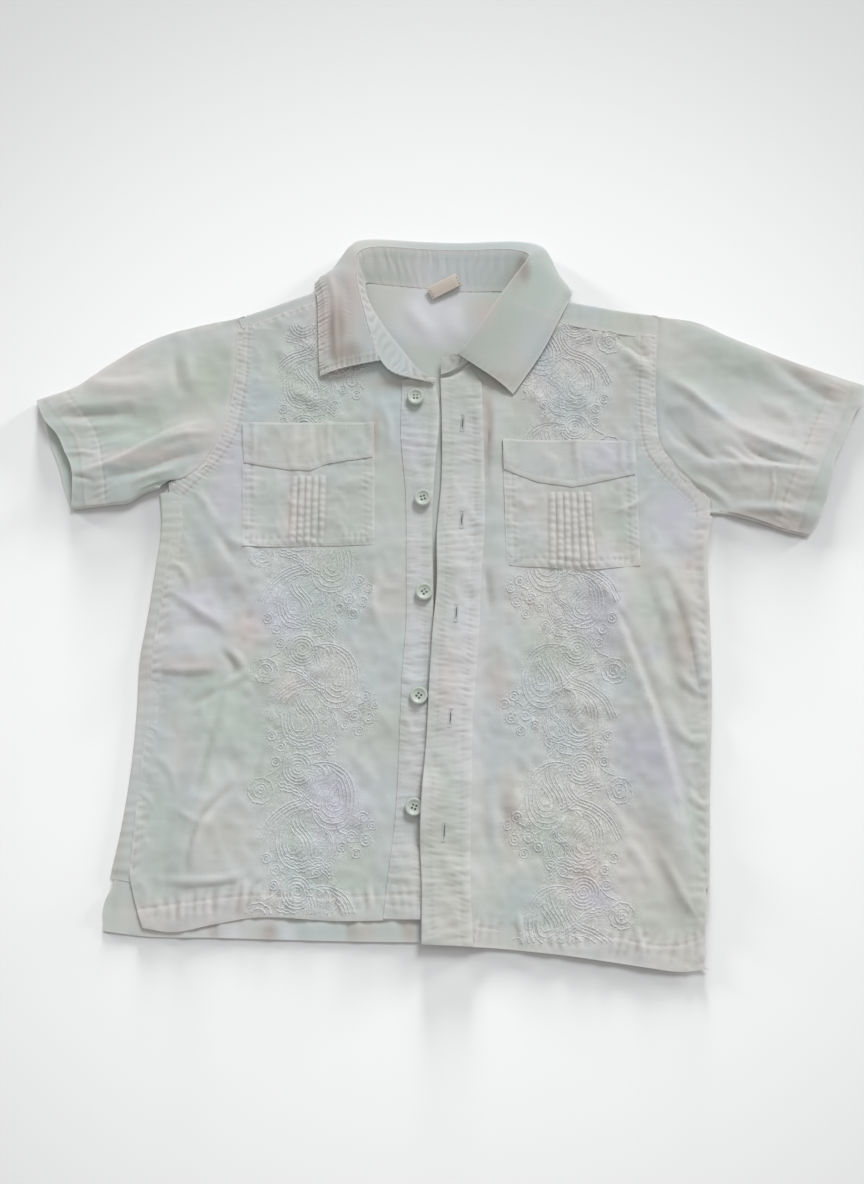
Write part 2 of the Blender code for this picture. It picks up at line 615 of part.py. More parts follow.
def make_sleeves(collection):
    """Both sleeves, each a seam's gap outside its armhole."""
    armhole = moved(RIGHT_ARMHOLE, SLEEVE_SEAM)[1:-1]
    armhole = [RIGHT_SLEEVE_TOP[0], *armhole, RIGHT_UNDERARM, RIGHT_SLEEVE_UNDER[0]]
    make_sleeve("sleeve_right", armhole, RIGHT_CUFF, RIGHT_CUFF_BACK, RIGHT_SLEEVE_TOP, RIGHT_SLEEVE_UNDER,
                collection)
    armhole = moved(LEFT_ARMHOLE, SLEEVE_SEAM)[1:-1]
    armhole = [LEFT_SLEEVE_TOP[0], *reversed(armhole), LEFT_SLEEVE_UNDER[0]]
    make_sleeve("sleeve_left", armhole, LEFT_CUFF, LEFT_CUFF, LEFT_SLEEVE_TOP, LEFT_SLEEVE_UNDER, collection)


def spaced(rows):
    """Lines through the same named point of each section, all with the same number of steps."""
    names = range(len(rows[0]))
    joined = [Vector([value for name in names for value in row[name]]) for row in rows]
    count = [max(1, round((Vector(b[0]) - Vector(a[0])).length / COLLAR_STEP)) for a, b in zip(rows, rows[1:])]
    line = []
    for i, steps in enumerate(count):
        ends = joined[max(i - 1, 0)], joined[i], joined[i + 1], joined[min(i + 2, len(joined) - 1)]
        for k in range(steps):
            line.append(between(*ends, k / steps))
    line.append(joined[-1])
    return [[Vector(row[3 * name:3 * name + 3]) for name in names] for row in line]


def between(before, start, end, after, share):
    """A point on the smooth line that passes four rows, a share of the way between the middle two."""
    rise = share * share * (3 - 2 * share)
    leave = (end - before) * 0.5
    arrive = (after - start) * 0.5
    return (start * (1 - rise) + end * rise + leave * (share * (1 - share) ** 2)
            - arrive * (share * share * (1 - share)))


def make_stand(collection):
    """The collar's stand, flopped outward at the right front and upright at the left."""
    rows = [(section.neck, section.top) for section in (*STAND_RIGHT_END, *COLLAR, *STAND_LEFT_END)]
    sections = spaced(rows)

    def place(across, along):
        neck, top = sections[round(along * (len(sections) - 1))]
        return neck.lerp(top, across)

    cloth("collar_stand", sheet(place, STAND_ACROSS, len(sections) - 1), collection)


def make_leaf(collection):
    """The collar's leaf, rolled under at the back and over at the left front."""
    rows = []
    for i, section in enumerate(COLLAR):
        start = Vector(section.top)
        start += (Vector(section.crest) - start).normalized() * (CLOTH / 2 + SEAM)
        start.z += ROLL_RISE * ramp(i, *ROLL_SECTIONS)
        rows.append((tuple(start), section.crest, section.turn, section.edge))
    sections = spaced(rows)

    def place(across, along):
        start, crest, turn, edge = sections[round(along * (len(sections) - 1))]
        points = (start, crest, turn, edge)
        step = across * 3
        i = min(2, int(step))
        spot = between(points[max(i - 1, 0)], points[i], points[i + 1], points[min(i + 2, 3)], step - i)
        return (spot.x, spot.y, max(spot.z, CLOTH / 2))

    cloth("collar_leaf", sheet(place, LEAF_ACROSS, len(sections) - 1), collection)


def make_label(collection):
    """The neck label, a short strip folded in two that crosses the neck seam."""
    turn = Vector((math.cos(LABEL_ANGLE), math.sin(LABEL_ANGLE)))
    side = Vector((-turn.y, turn.x))
    radius = (LABEL_CLOTH + GAP) / 2
    profile = [(-LABEL_DEPTH / 2, -radius), (LABEL_DEPTH / 2, -radius),
               (LABEL_DEPTH / 2 + radius, 0.0), (LABEL_DEPTH / 2, radius), (-LABEL_DEPTH / 2, radius)]

    def place(across, along):
        out, up = profile[round(across * (len(profile) - 1))]
        spot = Vector(LABEL_MIDDLE) + turn * ((along - 0.5) * LABEL_LENGTH) + side * out
        level = LABEL_LEVEL + LABEL_SLOPE * (spot.y - LABEL_MIDDLE[1] + LABEL_DEPTH)
        return (spot.x, spot.y, level + up)

    cloth("neck_label", sheet(place, len(profile) - 1, 2), collection, RIBBON, LABEL_CLOTH)


def button_mesh():
    """One four-holed button with a raised rim, turned on a screw and drilled."""
    data = bpy.data.meshes.new("button_profile")
    verts = [(out * BUTTON_RADIUS * MM, 0.0, up * BUTTON_HEIGHT * MM) for out, up in BUTTON_PROFILE]
    data.from_pydata(verts, [(k, k + 1) for k in range(len(verts) - 1)], [])
    turned = bpy.data.objects.new("button_profile", data)
    bpy.context.scene.collection.objects.link(turned)
    screw = turned.modifiers.new("turned", "SCREW")
    screw.steps = BUTTON_STEPS
    screw.render_steps = BUTTON_STEPS
    screw.use_merge_vertices = True
    screw.merge_threshold = 0.00001
    drill = make_drill()
    holes = turned.modifiers.new("holes", "BOOLEAN")
    holes.operation = "DIFFERENCE"
    holes.solver = "EXACT"
    holes.object = drill
    graph = bpy.context.evaluated_depsgraph_get()
    mesh = bpy.data.meshes.new_from_object(turned.evaluated_get(graph))
    mesh.name = "button"
    bpy.data.objects.remove(turned)
    bpy.data.objects.remove(drill)
    mesh.materials.clear()
    mesh.materials.append(finish_of(PEARL, "button"))
    return mesh


def make_drill():
    """The cutter for a button's four holes."""
    mesh = bmesh.new()
    for k in range(4):
        angle = math.pi / 4 + k * math.pi / 2
        made = bmesh.ops.create_cone(mesh, cap_ends=True, segments=8, radius1=HOLE_RADIUS * MM,
                                     radius2=HOLE_RADIUS * MM, depth=3 * BUTTON_HEIGHT * MM)
        away = Vector((math.cos(angle), math.sin(angle), 0)) * HOLE_OFFSET * MM
        bmesh.ops.translate(mesh, vec=away, verts=made["verts"])
    data = bpy.data.meshes.new("button_drill")
    mesh.to_mesh(data)
    mesh.free()
    drill = bpy.data.objects.new("button_drill", data)
    drill.hide_render = True
    drill.display_type = "WIRE"
    bpy.context.scene.collection.objects.link(drill)
    return drill


def make_buttons(collection):
    """Five buttons that lie on the button band."""
    mesh = button_mesh()
    for k, (x, y) in enumerate(BUTTONS):
        rim = [(x + math.cos(a) * BUTTON_RADIUS, y + math.sin(a) * BUTTON_RADIUS)
               for a in (step * math.pi / 4 for step in range(8))]
        below = max(weave_height(upper_height, *spot) for spot in [(x, y), *rim])
        level = below + CLOTH / 2 + GAP + CLOTH + GAP
        item = bpy.data.objects.new(f"button_{k + 1}", mesh)
        item.location = Vector((x, y, level)) * MM
        collection.objects.link(item)


def centre_on_table(collection):
    """Moves the whole shirt so that the middle of its box lies over the origin, on z = 0."""
    graph = bpy.context.evaluated_depsgraph_get()
    points = []
    for item in collection.objects:
        shape = item.evaluated_get(graph)
        points += [item.matrix_world @ vert.co for vert in shape.data.vertices]
    low = Vector([min(point[k] for point in points) for k in range(3)])
    high = Vector([max(point[k] for point in points) for k in range(3)])
    middle = (low + high) / 2
    for item in collection.objects:
        item.location -= Vector((middle.x, middle.y, low.z))
    return Vector((middle.x, middle.y, low.z)), high - low


def main():
    """Builds the shirt."""
    for item in list(bpy.data.objects):
        bpy.data.objects.remove(item)
    collection = bpy.data.collections.new(NAME)
    bpy.context.scene.collection.children.link(collection)
    make_back(collection)
    make_fronts(collection)
    make_plackets(collection)
    make_pockets(collection)
    make_sleeves(collection)
    make_stand(collection)
    make_leaf(collection)
    make_label(collection)
    make_buttons(collection)
    bpy.context.view_layer.update()
    middle, size = centre_on_table(collection)
    print("moved by", tuple(round(v / MM, 3) for v in middle), "size", tuple(round(v / MM, 2) for v in size))


main()
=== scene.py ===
"""A child's short-sleeved linen shirt, unbuttoned and laid flat on its back: its cloth, sewing and light.

Places and sizes are in millimetres on the table: +X to the wearer's left, +Y towards the collar, +Z up,
with the table at z = 0. Each piece is made there, and moved into the frame's metres as it is finished.
"""

import logging
import math
from abc import ABC, abstractmethod
from dataclasses import dataclass, field
from enum import Enum
from typing import Callable, Sequence

import bmesh
import bpy
import numpy as np
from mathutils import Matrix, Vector


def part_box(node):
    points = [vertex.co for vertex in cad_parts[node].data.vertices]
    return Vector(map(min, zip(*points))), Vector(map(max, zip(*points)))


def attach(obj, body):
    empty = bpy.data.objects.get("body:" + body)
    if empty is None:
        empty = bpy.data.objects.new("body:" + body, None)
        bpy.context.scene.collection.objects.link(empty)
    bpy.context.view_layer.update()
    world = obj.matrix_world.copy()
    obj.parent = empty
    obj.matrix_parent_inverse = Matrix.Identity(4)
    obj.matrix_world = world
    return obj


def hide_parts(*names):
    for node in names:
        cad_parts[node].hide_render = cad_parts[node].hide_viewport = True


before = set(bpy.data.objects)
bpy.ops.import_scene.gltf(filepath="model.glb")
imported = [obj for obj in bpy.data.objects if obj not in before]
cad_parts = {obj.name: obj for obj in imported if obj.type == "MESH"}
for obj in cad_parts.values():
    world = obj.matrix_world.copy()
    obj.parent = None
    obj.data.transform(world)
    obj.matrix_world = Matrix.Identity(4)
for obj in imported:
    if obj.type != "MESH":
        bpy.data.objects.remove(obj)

Array = np.ndarray
Place = tuple[float, float]
Place3 = tuple[float, float, float]
Span = tuple[float, float]
Points = Sequence[Place]
Box = tuple[float, float, float, float]
Mesh = bmesh.types.BMesh
Piece = bpy.types.Object
Material = bpy.types.Material
Tree = bpy.types.NodeTree

log = logging.getLogger("linen_shirt")

MM = 0.001
ROOT = "root"
SHADER = "Principled BSDF"

# The top button's place on the table ties the table's millimetres to the frame
TOP_BUTTON = (-23.5, 138.5)

# How thick the cloth is in one layer, and where it is sewn double
CLOTH = 0.8
DOUBLE = 1.2

# A fold between two layers: its radius, its rows, how far its direction is evened out to each side, and
# the rows of the strip that goes on past it
FOLD_RADIUS = 2.2
FOLD_STEPS = 8
FOLD_EVENED = 8
TURNED_CELL = 1.6

# Between the points of an outline, across the gap of a seam, and across a row of stitches
OUTLINE_STEP = 3.0
SEAM = 0.4
SEAM_WIDE = 0.8

# What counts as one place: where cells are cut, where slivers are joined, and on a line
NEAR = 0.01
CUT_NEAR = 1e-4
JOIN_NEAR = 0.06
ON_LINE = 0.09

# Levels of the middle of the cloth above the table, and how the upper layers come to rest on the back
BACK_LEVEL = 0.5
FRONT_LEVEL = 2.5
LOWEST = 1.4
SOFT_STOP = 0.6
TABLE_GAP = 0.04

# Rises: towards the collar, where the left front laps over the right, over the lowest button, at the
# edge of what is tucked under, and of what is sewn on top
COLLAR_LIFT = 1.6
COLLAR_LIFT_Y = (160.0, 192.0)
COLLAR_LIFT_X = (96.0, 128.0)
OVERLAP_LIFT = 3.4
OVERLAP_Y = (14.0, 56.0)
OVERLAP_X = (-2.0, 30.0)
BUTTON_BUMP = 2.8
BUTTON_BUMP_REACH = (30.0, 10.0)
UNDER_EDGE = -0.62
POCKET_RISE = 1.0
FLAP_RISE = 2.0
BAND_RISE = 1.15

# Folds and creases: how they end, and by how much each crease is raised and widened
FOLD_END = 0.35
FOLD_TAPER = 1.5
CREASE_LIFT = 2.1
CREASE_REACH = 1.3
CREASE_TAPER = 0.45

# Seams: the least reach of the pucker, how far it slants and sways, and where the doubled layer begins
SEAM_LEAST = 2.0
SEAM_SLANT = 0.35
SEAM_SWAY = 23.0
DOUBLE_RISE = (0.0, 1.4)

# Painted shade and painted highlight: the bend for each millimetre at which they are full, and how far hollows
# go to a darker brown and ridges to a paler tint
PAINTED_SHADE_BEND = 0.27
HOLLOW_PAINTED_SHADE = 0.5
HOLLOW_PAINTED_SHADE_DARK = 0.82
RIDGE_PAINTED_HIGHLIGHT = 0.32
RIDGE_PAINTED_HIGHLIGHT_PALE = 1.12

# How high the weave of the bands and of the neck tape stands
BAND_RELIEF = 0.045
TAPE_RELIEF = 0.1

# Sizes of the cells of cloth, and how far from a seam they are halved
BACK_CELL = 3.0
FRONT_CELL = 1.8
BAND_CELL = 1.1
POCKET_CELL = 1.0
FLAP_CELL = 1.4
PUCKERED = 10.0

# Outline stretches of the silhouette, counterclockwise, each a smooth line through its points
BACK_SIDE_FOOT = (154.5, -196)
BACK_HEM = ((-213, -205), (-189, -208), (-145, -209), (-68, -211), (30, -212), (148, -212))
LEFT_SIDE = ((154, -226), (157, -180), (160, -130), (162, -100), (164.5, -68), (165.5, -47), (166.5, -4),
             (166.5, 18), (168, 40), (172, 56))
LEFT_ARMHOLE = ((172, 56), (171, 68), (161, 80), (150, 91), (140.5, 104), (138, 126), (139, 162), (141, 184))
LEFT_SHOULDER = ((142, 199), (111, 203), (82, 208.5), (48, 219))
BACK_NECK = ((46.5, 217.2), (8, 217.2), (-15, 219.4), (-62.5, 223.5))
RIGHT_SHOULDER = ((-64, 224.5), (-91, 216), (-117, 207), (-145, 197))
RIGHT_ARMHOLE = ((-145, 191), (-145, 177), (-145, 156), (-148, 134), (-152, 115), (-162, 97), (-176, 84.5),
                 (-186.5, 79))
RIGHT_SIDE = ((-192, 72), (-190, 55), (-193, 14), (-196, -14), (-199, -38), (-199, -68), (-201, -111),
              (-205, -146), (-210, -174))
RIGHT_VENT_BACK = ((-208, -178.5), (-212, -187), (-213, -205))

# Outline stretches of the two fronts
RIGHT_FRONT_HEM = ((-188, -203), (-172, -205.5), (-145, -201), (-125, -197.5), (-68, -199), (-15, -198))
RIGHT_FRONT_EDGE = ((-15, -198), (-14, -126), (-11.5, -60), (-11.5, 5), (-12, 63), (-10, 96), (-8, 118),
                    (-8, 136), (-10, 148))
RIGHT_SEAM_END = (-144.7, 188.2)
RIGHT_NECK = ((-10, 148), (-22, 156), (-34, 171), (-46, 189), (-56, 205), (-60.5, 215))
RIGHT_SIDE_SEAM = ((-186, 74), (-184, 50), (-187, 6), (-191, -34), (-192, -68), (-195, -111), (-198, -172))
RIGHT_VENT = ((-198, -172), (-193, -190), (-188, -203))
LEFT_FRONT_HEM = ((-19, -212), (12, -214), (67, -219), (117, -226), (137, -228.5), (154, -227))
LEFT_NECK = ((43.5, 204.2), (36.5, 197), (26, 181), (14, 165.5), (1, 155), (-7, 153))
LEFT_FRONT_EDGE = ((-7, 153), (-6, 111), (-6.5, 80), (-9.5, 45), (-9.5, 12), (-12.5, -23), (-14.7, -60),
                   (-16, -87), (-19.5, -131), (-20, -150), (-19, -175), (-19, -212))

# How far the back comes over the upper layer before its seam
LEFT_STRIP = 12.4
RIGHT_STRIP = 4.5
SIDE_STRIP = 3.4

# The plackets' inner edges and tops
BUTTON_BAND_FOOT = (-42, -197.6)
BUTTON_BAND_TOP = ((-22, 154.5), (-32.5, 151))
BUTTON_BAND_INNER = ((-32.5, 151), (-33, 111), (-30, 77), (-29, 22), (-29, -15), (-31, -43), (-33, -96),
                     (-35, -137), (-40, -179), (-42, -197))
HOLE_BAND_FOOT = (12, -213.6)
HOLE_BAND_INNER = (HOLE_BAND_FOOT, (11, -180), (12, -116), (13, -78), (16, -43), (18, -15), (19, 10),
                   (22, 53), (22, 91), (21, 150))
HOLE_BAND_TOP = ((21, 150), (12, 160), (1, 153.5))

# Sleeves
RIGHT_SLEEVE_TOP = ((-143, 197.4), (-171, 191), (-198, 183), (-231, 163), (-253, 146), (-278, 137))
RIGHT_UNDERARM = (-187, 80.4)
RIGHT_SLEEVE_UNDER = ((-194, 75.4), (-203.5, 71.5), (-213, 65.5), (-222, 64.5), (-235, 63), (-250, 61))
RIGHT_CUFF = ((-278, 137), (-270, 121), (-262, 112), (-256, 100), (-250, 87), (-249, 74), (-250, 61))
RIGHT_CUFF_BACK = ((-278, 137), (-272, 123), (-267, 106), (-261, 92), (-256, 76), (-250, 61))
LEFT_SLEEVE_TOP = ((140.5, 198.3), (169, 193), (186, 184), (213, 172), (241, 161), (279, 148))
LEFT_SLEEVE_UNDER = ((170.5, 59), (181, 58), (200, 53), (221, 46), (234, 43))
LEFT_CUFF = ((279, 148), (278, 139), (271, 128), (261, 107), (254, 94), (250, 79), (244, 60), (234, 43))

# Pockets and flaps
RIGHT_POCKET = ((-139, 113), (-136, 35), (-50, 37), (-51, 113))
RIGHT_FLAP = ((-139, 120.5), (-137, 93), (-107, 88), (-93, 87.5), (-82, 92), (-52, 97), (-51, 121))
LEFT_POCKET = ((34.5, 101), (36, 23), (60, 22), (79, 20), (96, 20), (123, 23), (123, 100))
LEFT_FLAP = ((34.5, 109), (35, 88), (58, 79.5), (80, 76), (95, 79), (122, 85), (123, 108))

# Embroidered boxes: low and high x, low and high y
RIGHT_SEWN = ((-141, -47, -195, 34), (-116, -58, 120, 192))
LEFT_SEWN = ((30, 123, -212, 21), (48, 118, 108, 196))

# How far the embroidery draws the cloth up
SEWN_DRAWN = 0.5

BUTTONS = (TOP_BUTTON, (-18.5, 68), (-17.5, 5), (-20.8, -62), (-23.5, -131))
BUTTONHOLES = ((8, 121), (7, 54), (3, -9), (-1, -76), (-5, -146))


def along_lengths(points: Array) -> Array:
    """How far along a line each of its points lies."""
    return np.concatenate([[0.0], np.cumsum(np.linalg.norm(np.diff(points, axis=0), axis=1))])


def at_lengths(line: Array, lengths: Array) -> Array:
    """The places at given lengths along a line."""
    along = along_lengths(line)
    return np.column_stack([np.interp(lengths, along, line[:, k]) for k in range(line.shape[1])])


def smooth_line(points: Points | Array, step: float = OUTLINE_STEP) -> Array:
    """Points about a step apart on a smooth line through given points.

    Args:
        points: the places that the line passes, both ends kept.
        step: the distance between the points of the result.

    Returns:
        One row for each point.
    """
    rows = np.array(points, dtype=float)
    chords = np.linalg.norm(np.diff(rows, axis=0), axis=1)
    spans = np.diff(rows, axis=0) / chords[:, None]
    slopes = [spans[0]]
    for i in range(1, len(spans)):
        slopes.append((spans[i] * chords[i - 1] + spans[i - 1] * chords[i]) / (chords[i - 1] + chords[i]))
    slopes.append(spans[-1])
    line = []
    for i, chord in enumerate(chords):
        shares = np.arange(max(1, round(chord / step))) / max(1, round(chord / step))
        t = shares[:, None]
        rise = t * t * (3 - 2 * t)
        line.append(rows[i] * (1 - rise) + rows[i + 1] * rise + slopes[i] * chord * t * (1 - t) ** 2
                    - slopes[i + 1] * chord * t * t * (1 - t))
    return np.vstack([*line, rows[-1:]])


def square_to(ahead: Array) -> Array:
    """Directions made one long and turned square, to their right."""
    return np.column_stack([ahead[:, 1], -ahead[:, 0]]) / np.linalg.norm(ahead, axis=1)[:, None]


def moved(points: Points | Array, out: float) -> Array:
    """A stretch moved out, or in where out is negative; the outside is on the right of its direction."""
    rows = np.array(points, dtype=float)
    last = len(rows) - 1
    ahead = rows[np.minimum(np.arange(last + 1) + 1, last)] - rows[np.maximum(np.arange(last + 1) - 1, 0)]
    return rows + square_to(ahead) * out


def outline(*stretches: Points | Array, step: float = OUTLINE_STEP) -> Array:
    """A closed line through stretches that run counterclockwise, end to start."""
    line: list[Array] = []
    for stretch in stretches:
        for point in smooth_line(stretch, step):
            if not line or np.linalg.norm(point - line[-1]) > SEAM:
                line.append(point)
    if np.linalg.norm(line[0] - line[-1]) <= SEAM:
        line.pop()
    return np.array(line)


def corners(points: Points, step: float = OUTLINE_STEP) -> Array:
    """A closed line with a straight run between each two corners."""
    return outline(*[(a, b) for a, b in zip(points, [*points[1:], points[0]])], step=step)


def closed(line: Array) -> Array:
    """A closed line with its first point repeated at its end."""
    return np.vstack([line, line[:1]])


def share_of(points: Points | Array, shares: Array) -> Array:
    """The places at shares from 0 to 1 of the way along a line."""
    rows = np.array(points, dtype=float)
    return at_lengths(rows, shares * along_lengths(rows)[-1])


def ramp(value: Array, start: float, end: float) -> Array:
    """0 before the start, 1 past the end and even between; the end may be the lower one."""
    return np.clip((value - start) / (end - start), 0.0, 1.0)


def soft(value: Array) -> Array:
    """A share from 0 to 1 made to start and end level."""
    return value * value * (3 - 2 * value)


def swell(distance: Array, middle: float, width: float) -> Array:
    """1 at a middle, falling smoothly to 0 on both sides of it."""
    return np.exp(-((distance - middle) / width) ** 2)


def inside(line: Array, places: Array) -> Array:
    """Which places lie inside a closed line."""
    within = np.zeros(len(places), dtype=bool)
    for (x0, y0), (x1, y1) in zip(line, np.roll(line, -1, axis=0)):
        if y0 != y1:
            crosses = (y0 > places[:, 1]) != (y1 > places[:, 1])
            at = x0 + (places[:, 1] - y0) * (x1 - x0) / (y1 - y0)
            within ^= crosses & (places[:, 0] < at)
    return within


def chance(number: Array, seed: float) -> Array:
    """A number from 0 to 1 that looks random, the same each run, for each whole number."""
    value = np.sin(number * 12.9898 + seed * 78.233) * 43758.5453
    return value - np.floor(value)


def uneven(along: Array, pitch: float, seed: float) -> Array:
    """An uneven wave from -1 to 1: its crests are about a pitch apart, and none is like the next."""
    turned = along / pitch * 2 + 0.4 * np.sin(along / pitch * 0.9 + seed)
    knot = np.floor(turned)
    t = soft(turned - knot)

    def crest(number: Array) -> Array:
        """The height of one crest or trough."""
        return np.where(number % 2 == 0, 1.0, -1.0) * (0.25 + 0.75 * chance(number, seed))

    return crest(knot) * (1 - t) + crest(knot + 1) * t


def drift(places: Array, size: float, seed: float) -> Array:
    """Smooth unevenness from -1 to 1 over the table, its lumps about a size across."""
    cells = places / size
    low = np.floor(cells)
    t = soft(cells - low)
    total = np.zeros(len(places))
    for i in (0, 1):
        for j in (0, 1):
            weight = np.where(i, t[:, 0], 1 - t[:, 0]) * np.where(j, t[:, 1], 1 - t[:, 1])
            total += weight * (2 * chance((low[:, 0] + i) * 57 + (low[:, 1] + j) * 113, seed) - 1)
    return total


@dataclass(frozen=True)
class Trace:
    """A line on the table that many places are measured against at once."""

    points: Array

    def measure(self, places: Array) -> tuple[Array, Array, Array]:
        """How places lie to the line.

        Args:
            places: one row for each place.

        Returns:
            The distance of each from the line, below 0 on its right; how far along the line its nearest
            point is; and how far that point is from the nearer end.
        """
        best = np.full(len(places), np.inf)
        side = np.ones(len(places))
        along = np.zeros(len(places))
        lengths = along_lengths(self.points)
        for start, end, begin in zip(self.points, self.points[1:], lengths):
            span = end - start
            gap = places - start
            t = np.clip(gap @ span / (span @ span), 0, 1)
            distance = np.linalg.norm(gap - t[:, None] * span, axis=1)
            nearer = distance < best
            best = np.where(nearer, distance, best)
            along = np.where(nearer, begin + t * np.linalg.norm(span), along)
            cross = span[0] * gap[:, 1] - span[1] * gap[:, 0]
            side = np.where(nearer, np.where(cross < 0, -1.0, 1.0), side)
        return best * side, along, np.minimum(along, lengths[-1] - along)

    def near(self, places: Array, reach: float) -> Array:
        """Which places may lie within a reach of the line."""
        low = self.points.min(axis=0) - reach
        high = self.points.max(axis=0) + reach
        return np.all((places > low) & (places < high), axis=1)


class Feature(ABC):
    """Something that raises or lowers the cloth."""

    @abstractmethod
    def height(self, places: Array) -> Array:
        """How much it lifts the cloth at each place."""


@dataclass(frozen=True)
class Fold(Feature):
    """A main fold: a rounded ridge through three places, with its height and its half width."""

    points: Points
    high: float
    width: float

    def height(self, places: Array) -> Array:
        """How much it lifts the cloth at each place."""
        lift = np.zeros(len(places))
        trace = Trace(np.array(self.points, dtype=float))
        near = trace.near(places, self.width)
        distance, _, end = trace.measure(places[near])
        taper = np.minimum(1.0, FOLD_END + end / (FOLD_TAPER * self.width))
        reach = np.minimum(np.abs(distance) / self.width, 1.0)
        lift[near] = self.high * taper * (0.5 + 0.5 * np.cos(np.pi * reach))
        return lift


@dataclass(frozen=True)
class Crease(Feature):
    """A smaller crease through some places: its height, its reach on either side and how sharp its crest is."""

    points: Points
    high: float
    left: float
    right: float
    sharp: float = 0.75

    def height(self, places: Array) -> Array:
        """How much it lifts the cloth at each place."""
        lift = np.zeros(len(places))
        trace = Trace(smooth_line(self.points))
        near = trace.near(places, CREASE_REACH * max(self.left, self.right))
        distance, _, end = trace.measure(places[near])
        reach = np.abs(distance) / (CREASE_REACH * np.where(distance < 0, self.right, self.left))
        reach = np.minimum(reach, 1.0)
        length = along_lengths(trace.points)[-1]
        taper = soft(np.minimum(1.0, end / (CREASE_TAPER * length)))
        round_crest = 0.5 + 0.5 * np.cos(np.pi * reach)
        crest = (1 - self.sharp) * round_crest + self.sharp * (1 - reach) ** 2
        lift[near] = CREASE_LIFT * self.high * taper * crest
        return lift


@dataclass(frozen=True)
class Seam(Feature):
    """A row of stitches that sinks into the cloth and puckers it, with a doubled layer on its right side."""

    points: Points | Array
    pucker: float = 0.25
    pitch: float = 4.5
    left: float = 5.0
    right: float = 5.0
    groove: float = 0.22
    double: float = 0.0
    seed: float = 1.0
    stitched: bool = True

    def height(self, places: Array) -> Array:
        """How much it lifts the cloth at each place."""
        lift = np.zeros(len(places))
        trace = Trace(smooth_line(self.points))
        reach = max(self.left, self.right, SEAM_LEAST) + 1.0
        near = trace.near(places, reach)
        distance, along, end = trace.measure(places[near])
        fade = 1 - np.minimum(np.abs(distance) / np.where(distance < 0, self.right, self.left), 1.0)
        slant = along + SEAM_SLANT * distance * np.sin(along / SEAM_SWAY + self.seed)
        wave = uneven(slant, self.pitch, self.seed) * soft(fade)
        rim = np.where(end > 0, 1.0, np.exp(-np.abs(distance)))
        lift[near] = (self.pucker * wave - self.groove * swell(distance, 0.0, SEAM_WIDE)
                      + self.double * soft(ramp(-distance, *DOUBLE_RISE))
                      * (np.abs(distance) < reach - 1)) * rim
        return lift


def all_of(kind: type[Feature], rows: Sequence[tuple]) -> tuple[Feature, ...]:
    """Features of one kind, each from a row of its fields."""
    return tuple(kind(*row) for row in rows)


@dataclass(frozen=True)
class Rumple(Feature):
    """The soft unevenness of washed cloth."""

    high: float
    size: float
    seed: float

    def height(self, places: Array) -> Array:
        """How much it lifts the cloth at each place."""
        turned = places @ np.array([[0.91, -0.41], [0.41, 0.91]])
        crests = np.abs(drift(turned * (1.0, 0.7), self.size * 0.8, self.seed + 7))
        crests += 0.5 * np.abs(drift(places * (0.8, 1.1), self.size * 0.45, self.seed + 11))
        return self.high * (drift(places, self.size, self.seed)
                            + 0.5 * drift(turned, self.size / 2.1, self.seed + 3)
                            - 1.5 * crests + 0.5)


@dataclass(frozen=True)
class Ripple(Feature):
    """Uneven waves that run across a strip of cloth, square to a direction."""

    high: float
    pitch: float
    seed: float
    turn: float = 90.0

    def height(self, places: Array) -> Array:
        """How much it lifts the cloth at each place."""
        turn = math.radians(self.turn)
        along = places @ np.array([math.cos(turn), math.sin(turn)]) + 2.5 * drift(places, 26.0, self.seed)
        fade = 0.55 + 0.45 * drift(places, 34.0, self.seed + 5)
        return self.high * fade * uneven(along, self.pitch, self.seed)


@dataclass(frozen=True)
class Drawn(Feature):
    """Cloth drawn up between dense embroidery, inside a box with soft sides."""

    high: float
    box: Box
    seed: float
    size: float = 5.2
    side: float = 9.0

    def height(self, places: Array) -> Array:
        """How much it lifts the cloth at each place."""
        share = np.ones(len(places))
        for axis in (0, 1):
            low, high = self.box[2 * axis:2 * axis + 2]
            share = np.minimum(share, ramp(places[:, axis], low, low + self.side))
            share = np.minimum(share, ramp(places[:, axis], high, high - self.side))
        return self.high * soft(share) * drift(places, self.size, self.seed)


@dataclass(frozen=True)
class Tucks(Feature):
    """Pin tucks side by side on a pocket, each a narrow ridge beaded by its stitches."""

    count: int
    top: float
    bottom: float
    top_first: float
    top_last: float
    bottom_first: float
    bottom_last: float
    half: float = 2.2
    high: float = 1.15
    bead: float = 0.36
    bead_pitch: float = 5.0

    def lines(self) -> list[Array]:
        """The crest of each tuck, from its top to its bottom."""
        shares = np.arange(self.count) / (self.count - 1)
        tops = self.top_first + (self.top_last - self.top_first) * shares
        bottoms = self.bottom_first + (self.bottom_last - self.bottom_first) * shares
        return [np.array([(x0, self.top), (x1, self.bottom)]) for x0, x1 in zip(tops, bottoms)]

    def height(self, places: Array) -> Array:
        """How much they lift the cloth at each place."""
        lift = np.zeros(len(places))
        for k, line in enumerate(self.lines()):
            distance, along, end = Trace(line).measure(places)
            across = np.minimum(np.abs(distance) / self.half, 1.0)
            bead = 1 + self.bead * uneven(along, self.bead_pitch, 5.0 + k)
            ridge = (1 - across ** 2) * ramp(end, 0.0, 2.0)
            lift += self.high * bead * ridge
        return lift


@dataclass(frozen=True)
class EdgeDip(Feature):
    """A piece's outline, sewn or folded down so that its edge is round."""

    line: Array
    depth: float = 0.45
    reach: float = 1.8

    def height(self, places: Array) -> Array:
        """How much it lifts the cloth at each place: nothing, or less than nothing near the edge."""
        distance = np.abs(Trace(closed(self.line)).measure(places)[0])
        return -self.depth * (1 - np.minimum(distance / self.reach, 1.0)) ** 2


